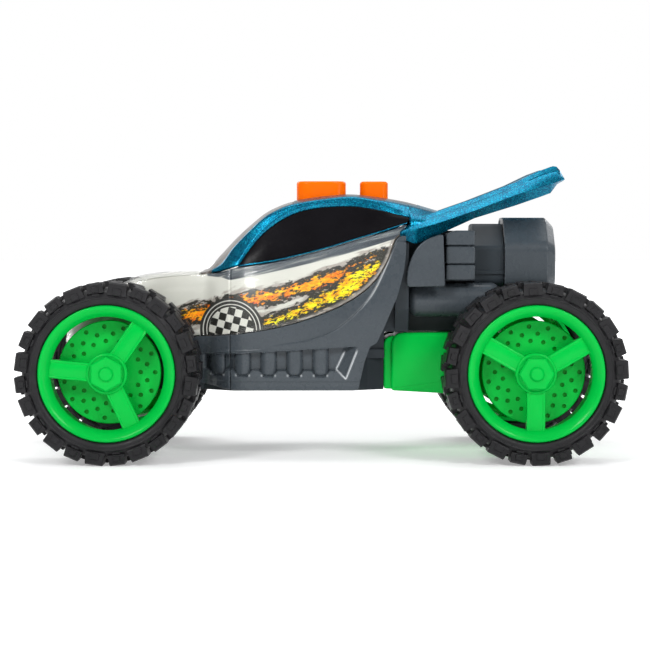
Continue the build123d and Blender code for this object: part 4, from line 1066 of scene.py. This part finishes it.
# ---- spoiler -----------------------------------------------------------------------------
# x, then (y, z) of an arm's bottom edge, outer crease and top edge, on the right-hand side.
ARM = np.array((
    (40.6, 39.5, 115.4, 42.4, 117.2, 40.5, 118.4),
    (43.5, 38.9, 114.0, 42.6, 117.9, 39.3, 120.9),
    (49.0, 38.0, 111.9, 42.6, 119.6, 37.0, 124.6),
    (60.0, 37.0, 116.4, 41.5, 122.6, 33.5, 128.8),
    (80.0, 35.0, 125.4, 39.5, 129.4, 31.0, 135.8),
    (101.0, 33.0, 131.9, 38.0, 137.4, 30.0, 144.0),
    (113.5, 32.0, 136.2, 37.5, 141.4, 30.0, 150.0),
    (119.8, 31.5, 138.5, 37.2, 143.3, 30.0, 152.3),
    (121.2, 31.8, 140.4, 37.0, 143.7, 30.0, 152.7),
    (123.0, 32.6, 143.0, 36.8, 144.3, 30.2, 152.4),
    (124.6, 33.2, 144.0, 36.4, 144.9, 30.8, 150.6),
    (126.0, 33.8, 144.7, 36.0, 145.3, 31.4, 147.9),
    (126.7, 34.2, 145.2, 35.6, 145.6, 32.5, 146.6),
))
ARM_WALL = 5.0
ARM_SWELL = 0.30            # of the upper facet
ARM_GROOVE = 0.35


def arm_loop(x, shrink=0.0):
    """One five-sided section of an arm, with a fine parting groove below its top edge."""
    values = [float(np.interp(x, ARM[:, 0], ARM[:, k])) for k in range(1, 7)]
    low, crease, top = np.array(values).reshape(3, 2)
    groove = ARM_GROOVE * float(step_up(x, 107, 110))
    across = top - crease
    inward = np.array((across[1], -across[0])) / np.linalg.norm(across)
    upper = [crease + across * t for t in (0, 0.2, 0.45, 0.66, 0.69, 0.72, 1)]
    upper[4] = upper[4] - inward * groove
    upper[1] = upper[1] + inward * ARM_SWELL * 0.7
    upper[2] = upper[2] + inward * ARM_SWELL
    inner_top, inner_low = top - (ARM_WALL, 1.6), low - (ARM_WALL, -0.8)
    loop = np.array([low] + upper + [inner_top, inner_low])
    middle = loop.mean(0)
    return middle + (loop - middle) * (1 - shrink)


def arm():
    """Swept arm from the roof to the tip."""
    stations = [(40.6, 0.25), (41.0, 0.08)] + [(x, 0.0) for x in span(41.6, 126.3, 1.6, ARM[1:-1, 0])]
    stations += [(126.7, 0.1)]
    return loft([[(x, y, z) for y, z in arm_loop(x, shrink)] for x, shrink in stations])


arm_verts, arm_faces = arm()
for side_name, side in SIDES:
    piece = make_piece(f"spoiler_arm_{side_name}", arm_verts * (1, side, 1), arm_faces, BLUE,
                       replaces=("spoiler",))
    soften(piece, 0.3, 2, 24)
    root = rounded_corners(((49.5, 119.4), (50.4, 123.2), (61.8, 127.2), (62.5, 123.0)), 0.6)
    v, f = prism(root, side * 26.5, side * 36)
    soften(make_piece(f"spoiler_root_{side_name}", v, f, BLUE,
                      replaces=("spoiler",)), 0.4)

wing_top = smooth_line(((96.2, 140.6), (101, 143.2), (108, 146.6), (115, 149.9), (119.4, 151.7)), 16)
wing_bottom = smooth_line(((121.6, 150.8), (119, 148.6), (112, 144.9), (104, 141.2), (97.2, 138.3)), 16)
v, f = prism(np.concatenate([wing_top, [(121.2, 152.0)], wing_bottom]), -29.6, 29.6)
soften(make_piece("spoiler_wing", v, f, BLUE, replaces=("spoiler",)), 0.4, 2, 40)


# ---- rear deck ---------------------------------------------------------------------------
ENGINE_Z = 101.0
CORE_FLAT_R = 21.7
CAP_FLAT_R = 25.0
CAP_X0, CAP_X1 = 96.6, 124.0
CAP_CHAMFER = 4.6
BLOCK_Y = 15.5              # half-width of the engine block
BLOCK_SIDE = 15.7           # just outside it, where the parts beside it end
DECK_Z = 65.8
TANK_X, TANK_Y, TANK_Z = 69.8, 24.4, 82.6
TANK_R = 7.9
TANK_ROUND = 5.0            # rounding of the tank's ends
TANK_HALF = 24.5            # half its length
TANK_TALL = 1.13            # height over width


def octagon(flat_r, corner):
    """Octagon about the engine's axis with rounded corners, as (y, z)."""
    reach = flat_r / math.cos(math.pi / 8)
    angles = [math.pi / 8 + n * math.pi / 4 for n in range(8)]
    return rounded_corners([(reach * math.cos(a), reach * math.sin(a)) for a in angles], corner, 7)


def barrel(stations, corner):
    """Eight-sided barrel along X through (x, flat radius) stations."""
    loops = []
    for x, flat_r in stations:
        loops.append([(x, y, ENGINE_Z + z) for y, z in octagon(flat_r, corner * flat_r / CAP_FLAT_R)])
    return loft(loops)


cap_stations = [(CAP_X0 + 0.6, 19.0), (CAP_X0 + 0.6, 24.0), (CAP_X0, 24.3), (CAP_X0, 24.8),
                (CAP_X0 + 0.4, 25.0), (CAP_X1 - CAP_CHAMFER - 0.6, 25.0), (CAP_X1 - CAP_CHAMFER, 24.8),
                (CAP_X1 - CAP_CHAMFER + 0.5, 24.4), (CAP_X1 - 0.7, 20.9), (CAP_X1 - 0.2, 20.2),
                (CAP_X1, 19.5), (CAP_X1, 13.6), (CAP_X1 - 0.4, 13.1), (CAP_X1 - 2.5, 12.4),
                (CAP_X1 - 2.5, 6.0)]
v, f = barrel(cap_stations, 9.0)
soften(make_piece("engine_cap", v, f, SLATE_WITH_GLINTS, replaces=("engine_end_cap",)), 0.25, 2, 30)

core = [barrel([(80.0, 20.8), (80.6, 21.5), (81.0, CORE_FLAT_R), (CAP_X0 - 0.2, CORE_FLAT_R)], 5.0),
        box_body(45.2, 80.6, -BLOCK_Y, BLOCK_Y, DECK_Z, 119.0),
        box_body(80.4, 84, -BLOCK_Y, BLOCK_Y, DECK_Z, 110.0),
        box_body(84, 92, -BLOCK_Y, -8, DECK_Z, 82), box_body(84, 92, 8, BLOCK_Y, DECK_Z, 82),
        box_body(80.2, CAP_X0 - 0.2, -22.7, 22.7, 96.0, 97.9)]
v, f = join(core)
soften(make_piece("engine_block", v, f, SLATE_DARK, replaces=("engine_core",),
                  smooth=False), 0.5, 2, 40)

VENTS = ((92.9, 101.1), (101.5, 110.7), (111.1, 119.0))
shield_front = smooth_line(((60.4, 116.6), (54, 113.9), (48.6, 108.6), (44.9, 99.4), (44.2, 93.6)), 26)
shield_rest = rounded_corners(((44.2, 93.6), (44.5, 89.6), (64.3, 89.9), (63.3, 116.9), (60.4, 116.6)),
                              (0, 3.2, 1.1, 2.6, 0), 7)
shield = np.concatenate([shield_front[:-1], shield_rest[:-1]])

for side_name, side in SIDES:
    slats = []
    for z0, z1 in VENTS:
        corners = [(64.9, z0), (80.2, z0), (80.2, z1), (64.9, z1)]
        if z1 > 115:
            corners = [(64.9, z0), (80.2, z0), (80.2, z1), (70.2, z1), (64.9, 116.9)]
        outline = rounded_corners(corners, 1.25, 5)
        slats.append(pillow(outline, side * 36.0, side * 19.0, 1.0))
    slats.append(box_body(66, 79, *sorted((side * 19.6, side * BLOCK_SIDE)), 93.2, 117.4))
    v, f = join(slats)
    soften(make_piece(f"vents_{side_name}", v, f, SLATE_WITH_GLINTS,
                      replaces=(f"vent_stack_{side_name}",)), 0.2, 2, 32)
    v, f = join([pillow(shield, side * 41.0, side * 37.8, 0.8, 5),
                 box_body(52, 61, *sorted((side * 38.0, side * BLOCK_SIDE)), 99, 111)])
    soften(make_piece(f"shield_{side_name}", v, f, SLATE_WITH_GLINTS,
                      replaces=(f"quarter_shield_{side_name}",)), 0.2, 2, 32)

    quarter = np.linspace(0, math.pi / 2, 10)
    end = [(TANK_R - TANK_ROUND + TANK_ROUND * math.cos(a),
            TANK_HALF - TANK_ROUND + TANK_ROUND * math.sin(a)) for a in quarter]
    profile = [(0.01, -TANK_HALF)] + [(r, -z) for r, z in reversed(end)] + end + [(0.01, TANK_HALF)]
    body, faces = lathe(profile, 64)
    body = np.stack([body[:, 2] + TANK_X, side * TANK_Y + body[:, 0], TANK_Z + TANK_TALL * body[:, 1]], 1)
    beside = sorted((side * TANK_Y, side * BLOCK_SIDE))
    saddles = [box_body(x, x + 6, *beside, 78.6, 84.6) for x in (54, 72)]
    v, f = join([(body, faces)] + saddles)
    make_piece(f"tank_{side_name}", v, f, SLATE_WITH_GLINTS, replaces=(f"side_tank_{side_name}",))


# ---- drive housing -----------------------------------------------------------------------
HOUSING_Y = 31.0
HOUSING_CORNERS = ((36.6, 34.9), (62, 33.5), (84, 32.6), (122, 32.6), (123, 46), (119, 58), (108, 65.3),
                   (36.6, 65.3))
HOUSING = rounded_corners(HOUSING_CORNERS, (2.0, 20, 20, 3.0, 12, 12, 12, 7.0), 9)
FLANGE = rounded_corners(((32.7, 35.8), (44, 35.2), (44, 63.6), (32.7, 63.6)), (1.5, 0, 0, 6.0), 9)


def tray(outline, wall, y_face, y_open, rounding):
    """Open-backed shell over an (x, z) outline with its face edge rounded."""
    direction = 1 if y_open > y_face else -1
    loops = face_edge(outline, y_face, direction, rounding, 6)
    loops.append([(x, y_open, z) for x, z in outline])
    loops.append([(x, y_open, z) for x, z in inset_outline(outline, wall)])
    loops.append([(x, y_face + direction * wall, z) for x, z in inset_outline(outline, wall)])
    return loft(loops)


for side_name, side in SIDES:
    parts = [tray(HOUSING, 1.8, side * HOUSING_Y, side * 0.06, 1.7)]
    parts.append(pillow(FLANGE, side * 28.6, side * 0.06, 1.0, 5))
    v, f = join(parts)
    make_piece(f"housing_{side_name}", v, f, GREEN,
               replaces=(f"drive_housing_{side_name}",))


# ---- wheels: drawn with the outer face to +Z, then stood up on their axle ------------------
SPOKE_FACE = 15.6
SPOKE_HALF = 4.7
LUG_PITCH = 30.0            # a wide and a narrow lug


def stand(verts, x, side):
    """Wheel points to their place on the left (-1) or right (+1) of an axle."""
    verts = np.asarray(verts, float)
    return np.stack([x + verts[:, 0], side * (TRACK_HALF + verts[:, 2]), AXLE_Z + verts[:, 1]], 1)


def spun(points, angle):
    """(radius, sideways, z) points turned to an angle about the axle."""
    c, s = math.cos(math.radians(angle)), math.sin(math.radians(angle))
    return [(r * c - u * s, r * s + u * c, z) for r, u, z in points]


def lug(section, half_width, angle, taper=0.9):
    """Tread block over an (r, z) section, a little narrower at its top."""
    loops = []
    for share in (-1, 1):
        points = []
        for r, z in section:
            width = half_width * (1 + (1 - taper) * np.clip((46 - r) / 4, 0, 1))
            points.append((r, share * width, z))
        loops.append(spun(points, angle))
    return loft(loops)


WIDE = ((39.5, 18.6), (39.7, 19.9), (41.0, 20.3), (45.5, 20.4), (46.25, 19.3), (46.25, 8.0), (43.0, 7.6),
        (42.6, 12))
NARROW = ((40.6, 18.0), (41.0, 19.9), (45.5, 20.2), (46.3, 19.0), (46.3, 8.0), (43.0, 7.6), (42.6, 12))
WIDE_STEP = ((39.9, 19.6), (40.1, 20.9), (43.2, 20.95), (43.7, 20.0))
NARROW_STEP = ((41.4, 19.6), (41.6, 20.8), (44.2, 20.8), (44.6, 19.9))
PIP = ((39.5, 18.9), (39.6, 19.8), (40.6, 19.8), (40.9, 18.7))
CENTRE = ((42.6, 5.6), (46.3, 5.2), (46.3, -5.2), (42.6, -5.6))


def tyre_body(wide_angle):
    """Carcass with a raised bead line, two shoulder rows and a centre row of blocks."""
    half = [(34.15, 14.6), (34.15, 16.4), (34.95, 16.8), (35.0, 18.5), (35.5, 19.3), (36.6, 19.75),
            (38.0, 19.85), (38.25, 20.25), (38.75, 20.25), (39.0, 19.75), (40.2, 19.2), (41.6, 18.0),
            (42.7, 16.0), (43.2, 13.4), (43.45, 9), (43.55, 3)]
    profile = half + [(r, -z) for r, z in reversed(half)] + [(40.9, -13.6), (40.9, 13.6)]
    parts = [lathe(profile, 192)]
    for number in range(12):
        wide = wide_angle + LUG_PITCH * number
        narrow = wide + LUG_PITCH / 2
        for flip, turn in ((1, 0.0), (-1, LUG_PITCH / 4)):
            rows = ((WIDE, 4.5, wide, 0.90), (WIDE_STEP, 1.9, wide, 0.84), (NARROW, 3.9, narrow, 0.88),
                    (NARROW_STEP, 1.5, narrow, 0.84), (PIP, 1.6, narrow, 0.8))
            for section, half_width, angle, taper in rows:
                points = section if flip > 0 else [(r, -z) for r, z in reversed(section)]
                parts.append(lug(points, half_width, angle + turn, taper))
        for angle in (wide + LUG_PITCH / 8, narrow + LUG_PITCH / 8):
            parts.append(lug(CENTRE, 2.9, angle, 0.85))
    return join(parts)


def rim_body(angles):
    """Barrel with a rolled ring, hub and three crowned spokes with thin raised edges."""
    profile = ((34.0, -18), (34.0, 16.6), (34.7, 17.1), (34.75, 17.8), (34.4, 18.4), (33.7, 18.6),
               (32.9, 18.4), (31.8, 17.7), (30.8, 16.9), (29.9, 15.9), (29.2, 14.6), (28.85, 13.7),
               (28.72, 13.1), (28.8, 12.6), (29.2, 12.2), (30.0, 12.0), (31.0, 11.3), (31.8, 9.8),
               (32.2, 8.0), (32.2, -18))
    parts = [lathe(profile, 192)]
    edge, dip = SPOKE_FACE, SPOKE_FACE - 0.45
    section = ((-SPOKE_HALF, 10.0), (-SPOKE_HALF, edge - 0.4), (-4.45, edge - 0.05), (-4.0, edge),
               (-3.6, edge - 0.15), (-3.3, dip), (-2.0, dip + 0.22), (0.0, dip + 0.32), (2.0, dip + 0.22),
               (3.3, dip), (3.6, edge - 0.15), (4.0, edge), (4.45, edge - 0.05), (SPOKE_HALF, edge - 0.4),
               (SPOKE_HALF, 10.0))
    for angle in angles:
        loops = []
        for r, drop in ((6, 0), (12, 0), (20, 0), (26, 0.15), (28.6, 0.6), (30.2, 1.2)):
            loops.append(spun([(r, u, z - (drop if z > 11 else 0)) for u, z in section], angle))
        parts.append(loft(loops))
    hub = ((1.52, -21), (4.9, -21), (4.9, 9.6), (10.3, 9.6), (10.5, 9.9), (10.5, 15.3), (10.35, 15.9),
           (9.9, 16.3), (9.3, 16.4), (8.9, 16.1), (8.6, 16.0), (1.52, 16.2))
    parts.append(lathe(hub, 96))
    return join(parts)


SPOKES = {"front": (55, 175, 295), "rear": (30, 150, 270)}
WIDE_LUG = {"front": 22.0, "rear": 3.0}
for end, x in (("front", FRONT_X), ("rear", REAR_X)):
    tyre_verts, tyre_faces = tyre_body(WIDE_LUG[end])
    rim_verts, rim_faces = rim_body(SPOKES[end])
    for side_name, side in SIDES:
        piece = make_piece(f"{end}_{side_name}_tread", stand(tyre_verts, x, side), tyre_faces, TYRE,
                           f"{end}_wheels", (f"{end}_{side_name}_tyre",))
        soften(piece, 0.5, 3, 40)
        piece = make_piece(f"{end}_{side_name}_wheel", stand(rim_verts, x, side), rim_faces, GREEN,
                           f"{end}_wheels", (f"{end}_{side_name}_rim",))
        soften(piece, 0.2, 2, 50)


# ---- CAD nodes that stay -----------------------------------------------------------------
FINISH = {
    "chassis_tub": CHASSIS, "battery_door": CHASSIS, "battery_box": SLATE_DARK, "battery_cells": CELL,
    "battery_contacts": STEEL, "body_screws": STEEL, "axle_bushes": NYLON, "power_switch_body": SLATE_DARK,
    "power_switch_knob": CHASSIS, "speaker": SLATE_DARK, "control_board": BOARD, "button_board": BOARD,
    "large_button": ORANGE, "small_button": ORANGE, "large_button_spring": STEEL,
    "small_button_spring": STEEL, "motor": STEEL, "motor_pinion": NYLON, "compound_gear": NYLON,
    "gear_pin": STEEL, "axle_gear": NYLON, "front_axle": STEEL, "rear_axle": STEEL,
    "front_hub_nuts": GREEN, "rear_hub_nuts": GREEN,
}
for end in ("front", "rear"):
    for side_name, _ in SIDES:
        FINISH[f"{end}_{side_name}_disc"] = DISC_WITH_DIMPLE_SHADE
EDGE_WIDTH = {"chassis_tub": 0.4, "battery_door": 0.3, "front_hub_nuts": 0.35, "rear_hub_nuts": 0.35,
              "battery_box": 0.4, "power_switch_knob": 0.2, "speaker": 0.3}
for node, material in FINISH.items():
    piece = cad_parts[node]
    piece.data.materials.clear()
    piece.data.materials.append(material)
    weld = piece.modifiers.new("weld", "WELD")
    weld.merge_threshold = SAME_POINT
    if node in EDGE_WIDTH:
        soften(piece, EDGE_WIDTH[node], 2, 38)


# ---- floor, light, camera ----------------------------------------------------------------
floor_paint = Paint("studio_floor")
pale = floor_paint.mix(floor_paint.noise(3.0, 4.0), (0.80, 0.80, 0.80), (0.84, 0.84, 0.84))
away = floor_paint.add("VectorMath", {0: floor_paint.coords}, operation="LENGTH").outputs["Value"]
glow = floor_paint.between(away, 0.22, 0.9, 0.32, 1.0)
floor_material = floor_paint.finish(pale, 0.9, Emission_Color=(1, 1, 1), Emission_Strength=glow)
FLOOR_HALF = 9000.0
floor_mesh = bpy.data.meshes.new("studio_floor")
corners = [(x * FLOOR_HALF, y * FLOOR_HALF, 0) for x, y in ((-1, -1), (1, -1), (1, 1), (-1, 1))]
floor_mesh.from_pydata([[c * MM for c in corner] for corner in corners], [], [(0, 1, 2, 3)])
floor_mesh.materials.append(floor_material)
floor = bpy.data.objects.new("studio_floor", floor_mesh)
bpy.context.scene.collection.objects.link(floor)

world = bpy.data.worlds.new("studio")
bpy.context.scene.world = world
world.use_nodes = True
sky = Nodes(world.node_tree)
sky.tree.nodes.clear()
toward = sky.add("SeparateXYZ", {0: sky.add("TexCoord").outputs["Generated"]}).outputs
height = toward["Z"]
overhead = sky.mix(sky.between(height, 0.05, 0.7), (0.05, 0.05, 0.055), (0.33, 0.34, 0.35))
behind = sky.maths("MULTIPLY", sky.between(toward["Y"], 0.2, 0.6), sky.between(height, 0.3, 0.75, 1.0, 0.0))
backdrop = sky.mix(behind, overhead, (0.80, 0.80, 0.80))
soft = sky.add("Background", {"Color": backdrop, "Strength": 1.0})
plain = sky.add("Background", {"Color": (1, 1, 1), "Strength": 1.0})
rays = sky.add("LightPath").outputs
seen = sky.maths("MAXIMUM", rays["Is Camera Ray"], rays["Is Transmission Ray"])
both = sky.add("MixShader", {0: seen, 1: soft.outputs[0], 2: plain.outputs[0]})
sky.add("OutputWorld", {"Surface": both.outputs[0]})


def softbox(name, place, aim, width, height, power):
    """Area light aimed at a point; metres and watts."""
    data = bpy.data.lights.new(name, "AREA")
    data.shape = "RECTANGLE"
    data.size, data.size_y, data.energy = width, height, power
    lamp = bpy.data.objects.new(name, data)
    lamp.location = place
    bpy.context.scene.collection.objects.link(lamp)
    lamp.rotation_euler = (Vector(aim) - Vector(place)).to_track_quat("-Z", "Y").to_euler()


MIDDLE = (0.0, 0.0, 0.07)
# name, place, width and height in metres, power in watts
LAMPS = (
    ("top", (0.0, 0.25, 1.6), 1.4, 0.9, 11),
    ("front_left", (-0.75, -1.3, 1.0), 0.42, 0.42, 13.5),
    ("front_right", (0.85, -1.3, 1.0), 0.42, 0.42, 12.5),
    ("strip_right", (1.25, -0.85, 0.16), 0.10, 0.8, 3),
    ("back_left", (-1.1, 1.2, 1.0), 0.6, 0.6, 5),
    ("back_right", (1.1, 1.2, 1.0), 0.6, 0.6, 5),
)
for name, place, width, height, power in LAMPS:
    softbox(name, place, MIDDLE, width, height, power)

CAMERA_PLACE = (0, -1.025, 0.114)
CAMERA_TILT = 2.566         # degrees down
CAMERA_TURN = -0.106        # degrees
camera_data = bpy.data.cameras.new("camera")
camera_data.lens = 105
camera_data.sensor_width = 36
camera = bpy.data.objects.new("camera", camera_data)
camera.location = CAMERA_PLACE
camera.rotation_euler = (math.radians(90 - CAMERA_TILT), 0, math.radians(CAMERA_TURN))
bpy.context.scene.collection.objects.link(camera)
bpy.context.scene.camera = camera
bpy.context.scene.view_settings.view_transform = "Standard"
